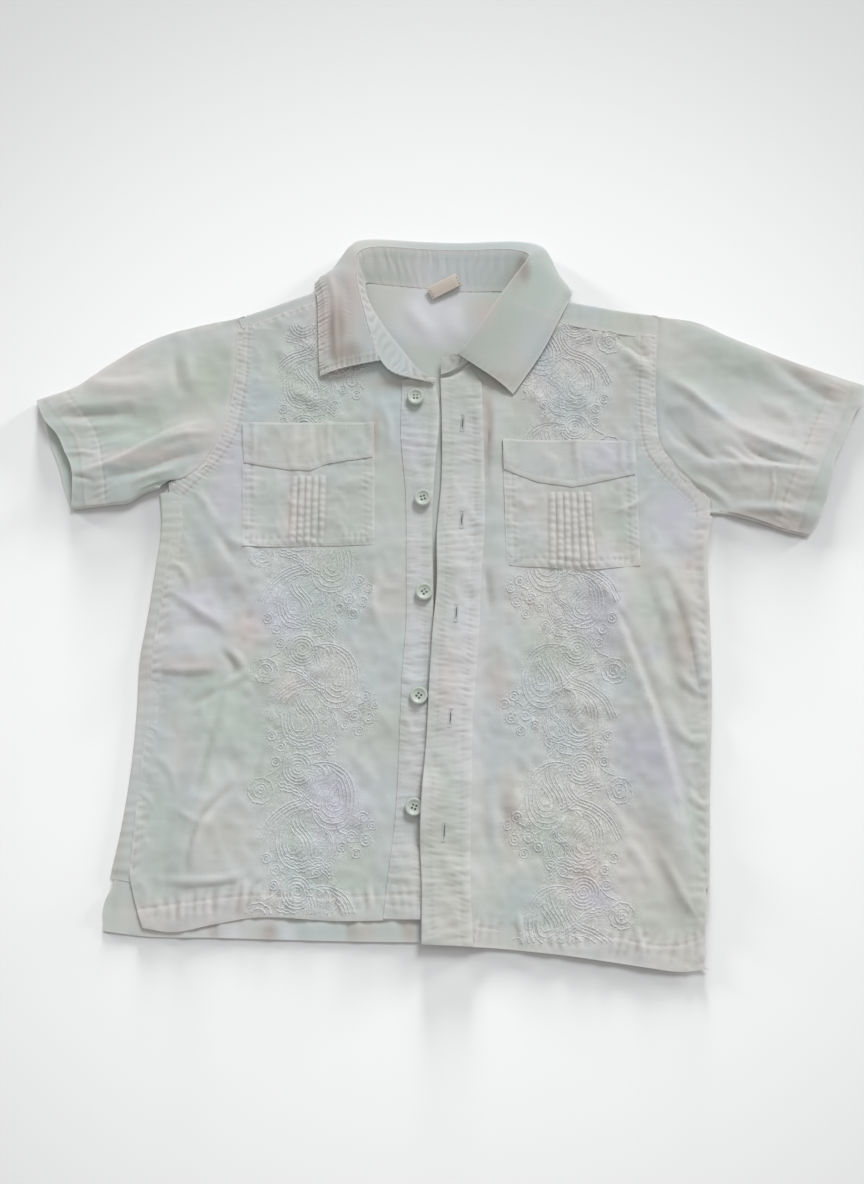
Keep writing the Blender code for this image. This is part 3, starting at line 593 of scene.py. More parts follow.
class Level(Enum):
    """The layers that lie on the table."""

    BACK = "back"
    UPPER = "upper"
    LEFT_FRONT = "left front"


@dataclass
class Ground:
    """The form of one layer of cloth: its level on the table and what raises or lowers it."""

    level: Level
    rise: float = 0.0
    features: list[Feature] = field(default_factory=list)

    def with_more(self, rise: float, *features: Feature) -> "Ground":
        """The form of a piece that lies on this one, higher by a rise and with its own features."""
        return Ground(self.level, self.rise + rise, [*self.features, *features])

    def height(self, places: Array) -> Array:
        """The height of the middle of the cloth at each place.

        Args:
            places: one row for each place on the table.

        Returns:
            One height for each place.
        """
        x, y = places[:, 0], places[:, 1]
        lift = np.minimum(ramp(y, *COLLAR_LIFT_Y), ramp(np.abs(x), COLLAR_LIFT_X[1], COLLAR_LIFT_X[0]))
        total = COLLAR_LIFT * soft(lift) + (BACK_LEVEL if self.level is Level.BACK else FRONT_LEVEL)
        if self.level is Level.LEFT_FRONT:
            lap = np.minimum(ramp(y, OVERLAP_Y[1], OVERLAP_Y[0]), ramp(x, OVERLAP_X[1], OVERLAP_X[0]))
            over_button = np.hypot(x - BUTTONS[4][0], y - BUTTONS[4][1])
            total = total + OVERLAP_LIFT * soft(lap) + BUTTON_BUMP * soft(ramp(over_button, *BUTTON_BUMP_REACH))
        for feature in self.features:
            total = total + feature.height(places)
        if self.level is not Level.BACK:
            # The upper layers come to rest on the back, softly
            gap = np.maximum(total - LOWEST, -SOFT_STOP)
            total = LOWEST + np.where(gap > SOFT_STOP, gap, (gap + SOFT_STOP) ** 2 / (4 * SOFT_STOP))
        return total + self.rise


# The right front, the left front, the left sleeve and the right sleeve
MAIN_FOLDS = all_of(Fold, (
    (((-154, 45), (-138, 21), (-118, 2)), 3.0, 22),
    (((-186, -37), (-166, -34), (-143, -37)), 4.0, 19),
    (((-145, -62), (-153, -121), (-161, -175)), 3.6, 20),
    (((-130, -107), (-150, -128), (-166, -168)), 2.4, 18),
    (((99, 30), (116, -33), (146, -172)), 3.6, 24),
    (((128, 38), (147, 3), (156, -58)), 3.0, 17),
    (((130, -130), (142, -165), (150, -200)), 3.4, 16),
    (((34, 148), (32, 81), (31, 0)), 2.4, 17),
    (((34, -20), (38, -77), (33, -150)), 2.0, 20),
    (((142, 153), (178, 116), (244, 90)), 2.6, 22),
    (((158, 90), (198, 84), (250, 79)), 2.2, 17),
    (((165, 187), (222, 160), (272, 138)), 2.6, 20),
    (((-274, 130), (-235, 136), (-180, 150)), 3.6, 26),
    (((-254, 79), (-200, 99), (-155, 118)), 3.8, 20),
    (((-232, 66), (-205, 76), (-180, 92)), 2.5, 15),
))

# Under the pocket, the pinched fold, the long and curved ones, by the placket, the chest, the side
# and the hem
RIGHT_CREASES = all_of(Crease, (
    (((-190, 12), (-160, -8), (-134, -27)), 1.3, 9, 5),
    (((-192, -44), (-168, -46), (-143, -43)), 1.1, 9, 3.0, 0.8),
    (((-149, -31), (-139, -43.5), (-138, -53)), -1.0, 4, 3, 0.6),
    (((-144, -29), (-133, -42), (-130, -52)), 1.0, 3.5, 4, 0.5),
    (((-150, -60), (-140, -52), (-127, -44)), 0.8, 3, 4, 0.5),
    (((-170, -70), (-155, -62), (-143, -55)), -0.9, 4, 3, 0.5),
    (((-144, -52), (-148, -77), (-154, -102), (-162, -140)), -1.1, 6, 4, 0.4),
    (((-128, -108), (-146, -127), (-155, -138), (-160, -152), (-163.5, -184)), -1.4, 6, 3.5, 0.7),
    (((-134, -118), (-150, -136), (-157, -150), (-159, -180)), 0.9, 5, 5, 0.3),
    (((-117, -93), (-121, -106), (-127, -129)), -0.7, 4, 2.5, 0.6),
    (((-172, -131), (-160, -138), (-152, -140)), 0.6, 3, 3, 0.5),
    (((-188, -174), (-156, -175.5), (-137, -174), (-118, -168)), 1.0, 4, 3, 0.5),
    (((-157, 51), (-147, 37), (-137, 20)), -1.0, 5, 4, 0.4),
    (((-150, 42), (-138, 38), (-122, 22)), 0.8, 4, 5, 0.4),
    (((-66, -146), (-58, -134), (-47, -122)), 0.7, 8, 7, 0.2),
    (((-62, -100), (-52, -110), (-46, -128)), 0.8, 7, 6, 0.2),
    (((-110, -150), (-90, -156), (-68, -150)), 0.7, 9, 8, 0.1),
    (((-112, 150), (-98, 140), (-84, 128)), 0.8, 7, 6, 0.2),
    (((-125, 182), (-112, 170), (-106, 150)), 0.7, 7, 6, 0.2),
    (((-174, 78), (-158, 62), (-150, 44)), 0.7, 4, 5, 0.9),
    (((-186, 30), (-172, 18), (-166, -2)), 0.7, 4, 4, 0.9),
    (((-100, -20), (-112, -44), (-116, -70)), 0.6, 6, 5, 0.8),
    (((-44, 30), (-50, 4), (-46, -24)), 0.8, 5, 4, 0.8),
    (((-48, 140), (-40, 118), (-42, 92)), 0.9, 4, 4, 0.8),
    (((-62, 130), (-56, 112), (-50, 98)), -0.7, 4, 4, 0.6),
    (((-190, -96), (-176, -108), (-170, -128)), 0.7, 5, 4, 0.9),
    (((-126, -172), (-127, -186), (-128, -198)), 0.7, 3, 3, 0.4),
    (((-98, -174), (-97, -187), (-96, -199)), 0.6, 3, 4, 0.4),
    (((-50, -176), (-50, -188), (-49, -199)), 0.6, 3, 3, 0.4),
    (((-163, -180), (-164, -192), (-166, -204)), 0.7, 4, 3, 0.4),
    (((-146, -178), (-146, -190), (-145, -202)), -0.6, 3, 3, 0.4),
))

# The long ones, the side, the armhole, beside the band, the shoulder, the belly and the hem
LEFT_CREASES = all_of(Crease, (
    (((92, 32), (107, -13), (121, -54), (135, -102), (145, -152), (148, -182)), 1.1, 3, 8, 0.95),
    (((99, 23), (112, -13), (127, -54), (142, -104), (152, -152)), -1.2, 6, 4, 0.4),
    (((124, 42), (137, 20), (149, -12), (158, -60), (162, -88)), -1.1, 4, 8, 0.6),
    (((118, 34), (130, 14), (142, -16), (150, -60)), 0.8, 6, 6, 0.3),
    (((142, -40), (152, -56), (164, -62)), 0.9, 5, 4, 0.4),
    (((138, -78), (150, -90), (163, -92)), 0.8, 5, 4, 0.4),
    (((146, -120), (154, -128), (162, -129)), 0.7, 4, 4, 0.4),
    (((122, -146), (134, -170), (142, -187), (156, -206)), 1.0, 5, 4, 0.95),
    (((139, 84), (128, 70), (116, 62), (96, 58)), 0.7, 5, 4, 0.9),
    (((88, 18), (102, 4), (114, -14)), 0.7, 4, 4, 0.9),
    (((58, -34), (76, -62), (84, -96)), 0.6, 6, 5, 0.8),
    (((90, -120), (104, -138), (112, -160)), 0.6, 5, 5, 0.8),
    (((140, 6), (128, -24), (124, -48)), 0.6, 5, 4, 0.9),
    (((100, -142), (114, -160), (126, -186)), 0.7, 6, 5, 0.3),
    (((23, 26), (24, 8), (26, -12)), -1.0, 4, 3, 0.4),
    (((23, 144), (26, 122), (24, 100), (25, 60)), -1.2, 3, 3, 0.8),
    (((30, -118), (36, -142), (39, -172)), -1.5, 8, 6, 0.3),
    (((22, -112), (26, -138), (27, -168)), 0.9, 5, 5, 0.3),
    (((106, 184), (118, 174), (130, 161), (142, 152)), 1.0, 6, 6, 0.4),
    (((112, 184), (124, 176), (138, 164)), -0.9, 5, 4, 0.4),
    (((70, -60), (92, -66), (112, -56)), 0.6, 10, 9, 0.1),
    (((60, -176), (84, -168), (108, -176)), 0.7, 9, 8, 0.1),
    (((46, 150), (60, 138), (66, 118)), 0.8, 7, 6, 0.2),
    (((40, -190), (42, -204), (43, -218)), 0.7, 3, 3, 0.4),
    (((74, -194), (76, -207), (77, -221)), 0.6, 3, 4, 0.4),
    (((112, -198), (114, -211), (116, -226)), 0.7, 3, 3, 0.4),
))

# Pleats by the edge and over the tucks, and the middle
RIGHT_FLAP_FOLDS = all_of(Crease, (
    (((-130, 132), (-130, 108), (-131, 84)), 0.6, 2, 3, 0.9),
    (((-89, 132), (-88, 108), (-85, 82)), -0.8, 2, 4, 0.9),
    (((-82, 132), (-81, 108), (-79, 84)), 0.7, 3, 3, 0.9),
    (((-104, 132), (-103, 108), (-104, 84)), 0.5, 4, 5, 0.8),
))

# A hollow, a pleat and the edge
LEFT_FLAP_FOLDS = all_of(Crease, (
    (((66, 108), (74, 100), (80, 88)), -0.6, 8, 8, 0.4),
    (((82, 122), (84, 96), (86, 74)), 0.6, 3, 3, 0.9),
    (((112, 122), (114, 100), (113, 80)), 0.6, 3, 3, 0.9),
))

# Under the top, the long ridge, below it, the cuff, the armhole, the underarm and across
RIGHT_SLEEVE_CREASES = all_of(Crease, (
    (((-276, 124), (-229.5, 126), (-216, 127), (-200, 121)), -1.6, 7, 6, 0.4),
    (((-258, 82), (-223, 92), (-201, 104), (-187, 112), (-150, 126)), 1.3, 4, 8, 0.9),
    (((-236, 80), (-200, 88), (-178, 97), (-152, 104)), -1.1, 6, 5, 0.6),
    (((-196, 104), (-176, 112), (-156, 114)), 0.8, 3, 4, 0.9),
    (((-214, 76), (-196, 84), (-176, 88)), 0.7, 3, 4, 0.8),
    (((-262, 98), (-246, 100), (-228, 96)), 0.6, 3, 3, 0.8),
    (((-256, 84), (-244, 82), (-230, 78)), -0.6, 3, 3, 0.8),
    (((-186, 172), (-184, 156), (-181, 136)), -1.0, 5, 4, 0.4),
    (((-178, 174), (-175, 158), (-172, 138)), 0.8, 5, 5, 0.3),
    (((-194, 76), (-190, 66), (-187, 56)), 0.8, 3, 3, 0.4),
    (((-180, 80), (-180, 68), (-181, 58)), 0.8, 3, 3, 0.4),
    (((-246, 150), (-220, 146), (-196, 150)), 0.9, 7, 7, 0.2),
    (((-240, 104), (-220, 108), (-204, 116)), 0.8, 6, 6, 0.3),
))

# The two ridges, the triangle, the valley, the cuff, the top's shade, the underarm and the edge
LEFT_SLEEVE_CREASES = all_of(Crease, (
    (((137, 160), (158, 144), (174, 129), (184, 122), (196, 112)), 1.5, 8, 5, 0.8),
    (((176, 124), (196, 113), (212, 105), (233, 97), (256, 86)), 1.3, 8, 4.6, 0.8),
    (((186, 113), (202, 98), (216, 92), (240, 88)), -0.9, 4, 3, 0.8),
    (((148, 90), (172, 92), (199.5, 90), (230, 87), (256, 86)), 1.2, 5, 7, 0.8),
    (((143, 134), (151, 115), (161, 104), (171, 96), (184, 88)), -1.4, 4, 6, 0.8),
    (((211, 92), (212, 76), (210, 60)), 0.6, 2, 2, 0.9),
    (((176, 105), (188, 97), (200, 88)), 0.9, 4, 4, 0.4),
    (((206, 170), (226, 158), (243, 145), (269, 128)), -1.3, 7, 7, 0.3),
    (((152, 85), (172, 74), (188, 61)), 0.9, 5, 4, 0.4),
    (((160, 72), (174, 64), (186, 56)), -0.8, 4, 4, 0.4),
    (((186, 62), (217, 61), (241, 56)), 0.8, 5, 4, 0.4),
    (((196, 140), (214, 134), (236, 120)), 0.8, 8, 7, 0.2),
))

RIGHT_ARMHOLE_SEAM = ((-137.5, 194), (-137.6, 177), (-137.5, 155), (-140, 134), (-143, 115), (-152, 98),
                      (-166, 82.5), (-178, 70))

# The hem, the armhole's inner and outer rows, the side and the shoulder
RIGHT_SEAMS = (
    Seam(((-192, -192), (-153, -187), (-126, -184), (-91, -185), (-20, -183)), 0.34, 6.5, 9, 18, 0.22, 0.3,
         2.0),
    Seam(RIGHT_ARMHOLE_SEAM, 0.26, 3.5, 5, 10, 0.25, 0.3, 3.0),
    Seam(moved(RIGHT_ARMHOLE, -1.6), 0.3, 4.0, 3, 2, 0.2, 0.0, 3.0),
    Seam(moved(RIGHT_SIDE_SEAM, -1.8), 0.35, 7.0, 7, 2, 0.2, 0.0, 4.0),
    Seam(moved(RIGHT_SHOULDER, -(FOLD_RADIUS + RIGHT_STRIP + SEAM + 1.6)), 0.3, 5.5, 5, 2, 0.2, 0.0, 5.0),
)

LEFT_SEAMS = (
    Seam(((14, -202), (41, -205), (93, -208), (137, -213), (154, -208)), 0.34, 6.5, 9, 18, 0.22, 0.3, 6.0),
    Seam(moved(LEFT_ARMHOLE, -10.5), 0.26, 3.5, 5, 9.5, 0.25, 0.3, 7.0),
    Seam(moved(LEFT_ARMHOLE, -1.6), 0.3, 4.0, 3, 2, 0.2, 0.0, 7.0),
    Seam(moved(LEFT_SIDE, -4.5), 0.3, 8.0, 7, 3, 0.0, 0.0, 8.0, False),
    Seam(moved(LEFT_SHOULDER, -(FOLD_RADIUS + LEFT_STRIP + SEAM + 1.6)), 0.3, 5.5, 5, 2, 0.2, 0.0, 9.0),
)

CUFF_SEWN = (0.24, 5.2, 6, 14, 0.3, 0.3)
RIGHT_CUFF_SEAM = Seam(((-262, 147), (-259.6, 143.7), (-236, 113), (-229, 88.7), (-227, 66.6), (-227, 63)),
                       *CUFF_SEWN, 10.0)
LEFT_CUFF_SEAM = Seam(((211, 45), (213, 49), (219.5, 69), (236, 106), (253, 142), (256, 152)), *CUFF_SEWN, 11.0)


def to_linear(colour: str) -> tuple[float, float, float]:
    """An sRGB hex colour as linear red, green and blue."""
    parts = [int(colour[k:k + 2], 16) / 255 for k in (1, 3, 5)]
    return tuple(part / 12.92 if part <= 0.04045 else ((part + 0.055) / 1.055) ** 2.4 for part in parts)


class Tint(Enum):
    """The tints that the cloud-dyed linen runs through, with those of its thread and its tape; SHADE and FAWN
    also serve as painted shade, and the pale thread tint as painted light.
    """

    STONE = "#cdd1ce"
    MINT = "#c1cec4"
    SAGE = "#c0c8b9"
    LILAC = "#d0d0dc"
    PINK = "#ddcfcb"
    ICE = "#c3d0d3"
    CREAM = "#dad8d0"
    ROSE = "#dbd5d2"
    FAWN = "#c1b7ae"
    THREAD = "#e2e2e6"
    TAPE = "#d3c8b9"
    SHADE = "#a2958a"
    BROWN = "#75695f"


def towards(colour: Array, tint: Tint, share: Array | float, factor: float = 1.0) -> Array:
    """Colours moved a share of the way, one for each or for all, to a tint made lighter or darker."""
    return colour + np.reshape(share, (-1, 1)) * (np.array(to_linear(tint.value)) * factor - colour)


@dataclass(frozen=True)
class Cloud:
    """A soft patch of colour: its tint, its middle, its reach both ways and its strength. Most are the cloth's
    cloud dyeing; some are painted shade and some painted light.
    """

    tint: Tint
    x: float
    y: float
    across: float
    along: float
    strength: float


# From the two fronts over the sleeves and the chest to the neck, the bands and the hem; later ones
# lie over earlier ones. The SHADE patches in the left sleeve's lower layer, the collar's corner, the leaf's
# valley and the back hem's folds are painted shade, as are the FAWN ones in folds and creases, under the
# collar's leaves, beside the bands and on the left sleeve's top. The pale thread-tinted ones on the back
# neck, the stand's back and the back hem's folds are painted light; those on the bands and the left
# sleeve make them paler.
CLOUDS_WITH_PAINTED_SHADE_AND_LIGHT = tuple(Cloud(*row) for row in (
    (Tint.LILAC, -165, -8, 32, 26, 0.6), (Tint.PINK, -131, -18, 13, 18, 0.8),
    (Tint.ROSE, -165, -42, 28, 7, 0.8), (Tint.MINT, -148, -85, 34, 32, 0.6),
    (Tint.ROSE, -171, -88, 14, 30, 0.5), (Tint.MINT, -176, -145, 18, 45, 0.7),
    (Tint.CREAM, -140, -148, 26, 18, 0.5), (Tint.ICE, -60, -15, 14, 50, 0.5),
    (Tint.CREAM, -66, -45, 17, 28, 0.5), (Tint.LILAC, -72, -128, 26, 28, 0.6),
    (Tint.LILAC, -115, -14, 20, 22, 0.5), (Tint.SAGE, -95, -32, 8, 11, 0.6),
    (Tint.MINT, -115, -95, 26, 30, 0.5), (Tint.SAGE, -60, -168, 16, 20, 0.5),
    (Tint.PINK, -104, -60, 10, 12, 0.4), (Tint.LILAC, 100, -8, 20, 40, 0.6), (Tint.ICE, 108, -56, 22, 13, 0.5),
    (Tint.LILAC, 122, -97, 32, 34, 0.7), (Tint.CREAM, 112, -162, 28, 30, 0.5),
    (Tint.FAWN, 148, -22, 9, 36, 0.7), (Tint.MINT, 132, -4, 18, 20, 0.5), (Tint.LILAC, 130, -34, 14, 8, 0.6),
    (Tint.SAGE, 153, -150, 11, 46, 0.5), (Tint.PINK, 156, 24, 10, 8, 0.5), (Tint.PINK, 80, -166, 13, 24, 0.5),
    (Tint.LILAC, 90, -186, 14, 9, 0.6), (Tint.MINT, 60, -150, 18, 25, 0.5), (Tint.FAWN, 34, -138, 6, 26, 0.6),
    (Tint.PINK, 31, -60, 8, 26, 0.5), (Tint.ICE, 26, -120, 8, 60, 0.5), (Tint.ROSE, -216, 150, 36, 22, 0.7),
    (Tint.SAGE, -166, 150, 24, 32, 0.7), (Tint.MINT, -215, 110, 34, 15, 0.8), (Tint.PINK, -206, 96, 36, 8, 0.7),
    (Tint.ROSE, -168, 113, 20, 10, 0.5), (Tint.MINT, -172, 84, 18, 14, 0.6), (Tint.ICE, -130, 136, 20, 26, 0.7),
    (Tint.LILAC, -146, 76, 13, 46, 0.6), (Tint.ICE, -163, 44, 14, 24, 0.6), (Tint.PINK, -105, 52, 7, 16, 0.6),
    (Tint.CREAM, -92, 105, 20, 12, 0.5), (Tint.MINT, -118, 62, 14, 22, 0.5), (Tint.ROSE, 88, 174, 24, 22, 0.6),
    (Tint.ICE, 80, 130, 18, 22, 0.5), (Tint.FAWN, 116, 138, 11, 22, 0.4), (Tint.LILAC, 108, 94, 22, 18, 0.6),
    (Tint.MINT, 112, 50, 12, 14, 0.6), (Tint.LILAC, 146, 56, 20, 26, 0.6), (Tint.MINT, 188, 152, 44, 30, 0.7),
    (Tint.ICE, 178, 128, 12, 8, 0.7), (Tint.CREAM, 218, 116, 40, 15, 0.6), (Tint.MINT, 242, 136, 28, 13, 0.5),
    (Tint.CREAM, 206, 76, 42, 13, 0.8), (Tint.FAWN, 222, 166, 13, 6, 0.6), (Tint.FAWN, 240, 156, 13, 8, 0.8),
    (Tint.FAWN, 258, 144, 13, 8, 0.8), (Tint.SHADE, 198, 58, 14, 4, 0.7), (Tint.SHADE, 222, 50, 22, 9, 0.8),
    (Tint.PINK, -66, 206, 5, 38, 0.5), (Tint.MINT, 42, 200, 30, 32, 0.6), (Tint.ICE, 58, 172, 14, 20, 0.5),
    (Tint.LILAC, -4, 196, 22, 20, 0.5), (Tint.PINK, 26, 196, 9, 16, 0.6), (Tint.ICE, -36, 136, 20, 24, 0.6),
    (Tint.LILAC, -28, 104, 14, 20, 0.5), (Tint.CREAM, 5, 60, 12, 60, 0.4), (Tint.PINK, 0, -56, 10, 26, 0.4),
    (Tint.MINT, 2, -130, 12, 40, 0.4), (Tint.SAGE, 60, -34, 16, 20, 0.4), (Tint.ROSE, -190, -196, 24, 12, 0.6),
    (Tint.FAWN, -38, 150, 26, 7, 0.65), (Tint.ICE, 70, -90, 18, 26, 0.4), (Tint.FAWN, 25, 120, 4, 30, 0.8),
    (Tint.FAWN, -50, 118, 4, 24, 0.7), (Tint.ROSE, -87, 186, 5, 36, 0.8), (Tint.ROSE, -74, 157, 18, 4, 0.7),
    (Tint.SHADE, 50, 232, 5, 13, 0.7), (Tint.FAWN, -2, 209, 9, 5, 0.4), (Tint.THREAD, -10, 200, 30, 26, 0.8),
    (Tint.THREAD, -22, -30, 9, 150, 0.5), (Tint.THREAD, -20, 234, 34, 9, 0.35),
    (Tint.THREAD, -134, -207, 8, 8, 0.7), (Tint.THREAD, -100, -207, 5, 8, 0.6),
    (Tint.THREAD, -51, -207, 7, 8, 0.5), (Tint.SHADE, -145, -206, 3, 9, 0.5),
    (Tint.SHADE, -111, -206, 4, 9, 0.7), (Tint.SHADE, -62, -206, 3, 9, 0.5), (Tint.FAWN, -26, -205, 5, 8, 0.8),
    (Tint.PINK, -80, 196, 16, 44, 0.45), (Tint.THREAD, 214, 118, 52, 46, 0.35),
    (Tint.THREAD, 10, -20, 14, 150, 0.5), (Tint.SHADE, -77, 190, 6, 32, 0.8),
    (Tint.SHADE, -69, 169, 12, 9, 0.7), (Tint.FAWN, -197, -10, 5, 60, 0.5), (Tint.FAWN, -207, -150, 6, 32, 0.6),
    (Tint.ROSE, -199, -80, 5, 30, 0.6), (Tint.FAWN, -54, -206, 9, 7, 0.5), (Tint.FAWN, -112, -208, 8, 6, 0.5),
    (Tint.FAWN, 30, 151, 15, 6, 0.65), (Tint.FAWN, 44, 222, 6, 13, 0.55), (Tint.PINK, 24, 204, 12, 10, 0.4),
))


# Even washes under the clouds: tint, size of their lumps, seed and strength
WASHES = ((Tint.MINT, 72.0, 1.0, 0.6), (Tint.ROSE, 50.0, 3.0, 0.5), (Tint.CREAM, 64.0, 4.0, 0.5),
          (Tint.SAGE, 38.0, 6.0, 0.35), (Tint.ICE, 46.0, 5.0, 0.35))

# How far a cloud's edge is broken up and by what lumps, and the shares of its reach where it ends and is full
CLOUD_BROKEN = 0.3
CLOUD_LUMP = 17.0
CLOUD_SEED = 0.37
CLOUD_FADE = (1.35, 0.1)

# How far the cloth is worn pale along a seam
SEAM_WORN = 0.25
DOUBLE_WORN = 0.42
WORN_PALE = 1.03


def dye_and_painted_shading(places: Array) -> Array:
    """The colour of the cloth at each place: its cloud dyeing and seam wear, with the painted shade and painted
    light of some of its patches.

    Args:
        places: one row for each place on the table.

    Returns:
        Linear red, green and blue, one row for each place.
    """
    colour = np.tile(np.array(to_linear(Tint.STONE.value)), (len(places), 1))
    for tint, size, seed, strength in WASHES:
        lumps = drift(places, size, seed) + 0.4 * drift(places, size / 2.3, seed + 9)
        colour = towards(colour, tint, soft(ramp(lumps, 0.0, 0.75)) * strength)
    # Patches of cloud dyeing, and of painted shade and painted light
    for cloud in CLOUDS_WITH_PAINTED_SHADE_AND_LIGHT:
        reach = np.hypot((places[:, 0] - cloud.x) / cloud.across, (places[:, 1] - cloud.y) / cloud.along)
        reach += CLOUD_BROKEN * drift(places, CLOUD_LUMP, cloud.x * CLOUD_SEED)
        colour = towards(colour, cloud.tint, soft(ramp(reach, *CLOUD_FADE)) * cloud.strength)
    for seam in (*RIGHT_SEAMS, *LEFT_SEAMS, RIGHT_CUFF_SEAM, LEFT_CUFF_SEAM):
        distance, along, end = Trace(smooth_line(seam.points)).measure(places)
        worn = ramp(distance, seam.left * 0.5, 0.0) * ramp(distance, -seam.right - 1, -seam.right + 1)
        worn = worn * (end > 0) * (DOUBLE_WORN if seam.double else SEAM_WORN)
        worn = worn * (0.8 + 0.4 * uneven(along, seam.pitch, seam.seed))
        colour = towards(colour, Tint.ROSE, worn, WORN_PALE)
    return colour


def add_node(tree: Tree, kind: str, settings: dict | None = None,
             links: dict | None = None) -> bpy.types.Node:
    """Adds a shader node with its settings and what it is linked to.

    Args:
        tree: the material's node tree.
        kind: the node's type.
        settings: values for its inputs, by their name or number, or for its own properties.
        links: output sockets to link to its inputs, by their name or number.

    Returns:
        The node.
    """
    made = tree.nodes.new(kind)
    for name, value in (settings or {}).items():
        if isinstance(name, int) or name in made.inputs:
            made.inputs[name].default_value = value
        else:
            setattr(made, name, value)
    for name, socket in (links or {}).items():
        tree.links.new(socket, made.inputs[name])
    return made


def new_material(name: str, roughness: float, **settings: float) -> tuple[Material, Tree]:
    """A material with its tree, whose even values are set on the shader's own sockets."""
    material = bpy.data.materials.new(name)
    material.use_nodes = True
    shader = material.node_tree.nodes[SHADER]
    shader.inputs["Roughness"].default_value = roughness
    for socket, value in settings.items():
        shader.inputs[socket.replace("_", " ").title().replace("Ior", "IOR")].default_value = value
    return material, material.node_tree


def object_place(tree: Tree) -> bpy.types.NodeSocket:
    """Where each point lies in its object, in metres."""
    return add_node(tree, "ShaderNodeTexCoord").outputs["Object"]


def noise_over(tree: Tree, place: bpy.types.NodeSocket, **settings: float) -> bpy.types.NodeSocket:
    """Noise over a place; the settings have the names of the noise's own sockets."""
    return add_node(tree, "ShaderNodeTexNoise", settings, {"Vector": place}).outputs[0]


def graded(tree: Tree, value: bpy.types.NodeSocket, ends: Span, middle: float,
           contrast: float) -> bpy.types.NodeSocket:
    """A value between two ends, spread about a middle by a contrast to each side."""
    settings = {1: ends[0], 2: ends[1], 3: middle - contrast, 4: middle + contrast}
    return add_node(tree, "ShaderNodeMapRange", settings, {0: value}).outputs[0]


def dyed(tree: Tree, shade: bpy.types.NodeSocket) -> bpy.types.NodeSocket:
    """The piece's own colour, painted shade and painted light included, lighter or darker by a shade."""
    colour = add_node(tree, "ShaderNodeAttribute", {"attribute_name": "dye_and_painted_shading"}).outputs["Color"]
    tinted = add_node(tree, "ShaderNodeVectorMath", {"operation": "SCALE"}, {0: colour, "Scale": shade})
    return tinted.outputs[0]


def mix_colours(tree: Tree, share: bpy.types.NodeSocket, first: Sequence[float],
                second: Sequence[float]) -> None:
    """Gives the shader a base colour that a pattern runs from one linear colour to another."""
    mix = add_node(tree, "ShaderNodeMix", {"data_type": "RGBA"}, {0: share})
    mix.inputs[6].default_value = (*first, 1)
    mix.inputs[7].default_value = (*second, 1)
    tree.links.new(mix.outputs[2], tree.nodes[SHADER].inputs["Base Color"])


def scaled(colour: str, factor: float) -> tuple[float, ...]:
    """A hex colour as linear values, lighter or darker by a factor."""
    return tuple(min(1.0, value * factor) for value in to_linear(colour))


@dataclass(frozen=True)
class Linen:
    """Plain-woven linen of uneven thread, cloud-dyed after sewing: matt, with slubs both ways and a nap."""

    name: str = "washed_linen"
    roughness: float = 0.9
    sheen: float = 0.12
    # Real thread stands 0.5 mm apart; it is drawn 1 mm apart, so that it shows in the render
    thread: float = 1.0
    slub: float = 14.0
    contrast: float = 0.016
    relief: float = 0.035
    # Between dense embroidery the cloth is drawn up into grains, too fine for the mesh
    grain: float = 1.9
    grain_relief: float = 0.95
    # Painted shade and painted highlight on the grains: darker in their hollows and paler on their tops, and
    # paler overall where embroidered
    painted_grain_shade_contrast: float = 0.13
    grain_paler: float = 0.07

    def make(self) -> Material:
        """The material."""
        material, tree = new_material(self.name, self.roughness, sheen_weight=self.sheen, sheen_roughness=0.6,
                                      specular_ior_level=0.25)
        place = object_place(tree)
        threads = []
        for across in (True, False):
            scale = (1 / self.slub, 1 / self.thread, 0.2) if across else (1 / self.thread, 1 / self.slub, 0.2)
            turned = add_node(tree, "ShaderNodeMapping", {"Scale": tuple(value / MM for value in scale)},
                              {"Vector": place})
            threads.append(noise_over(tree, turned.outputs[0], Scale=1.0, Detail=2.0, Roughness=0.55))
        both = add_node(tree, "ShaderNodeMath", {"operation": "ADD"}, {0: threads[0], 1: threads[1]})
        shade = graded(tree, both.outputs[0], (0.7, 1.3), 1.0, self.contrast)
        tinted = dyed(tree, shade)
        bump = add_node(tree, "ShaderNodeBump", {"Strength": 1.0, "Distance": self.relief * MM},
                        {"Height": both.outputs[0]})
        stitched = add_node(tree, "ShaderNodeAttribute", {"attribute_name": "stitched"}).outputs["Fac"]
        grains = noise_over(tree, place, Scale=1 / (self.grain * MM), Detail=2.0, Distortion=1.4)
        drawn_up = add_node(tree, "ShaderNodeBump", {"Distance": self.grain_relief * MM},
                            {"Strength": stitched, "Height": grains, "Normal": bump.outputs[0]})
        # Painted shade and highlight: where embroidered, the colour follows the grains' bump, darker low and
        # paler high
        hollow = graded(tree, grains, (0.36, 0.64), self.grain_paler, self.painted_grain_shade_contrast)
        depth = add_node(tree, "ShaderNodeMath", {"operation": "MULTIPLY_ADD", 2: 1.0},
                         {0: hollow, 1: stitched})
        shaded = add_node(tree, "ShaderNodeVectorMath", {"operation": "SCALE"},
                          {0: tinted, "Scale": depth.outputs[0]})
        tree.links.new(shaded.outputs[0], tree.nodes[SHADER].inputs["Base Color"])
        tree.links.new(drawn_up.outputs[0], tree.nodes[SHADER].inputs["Normal"])
        return material


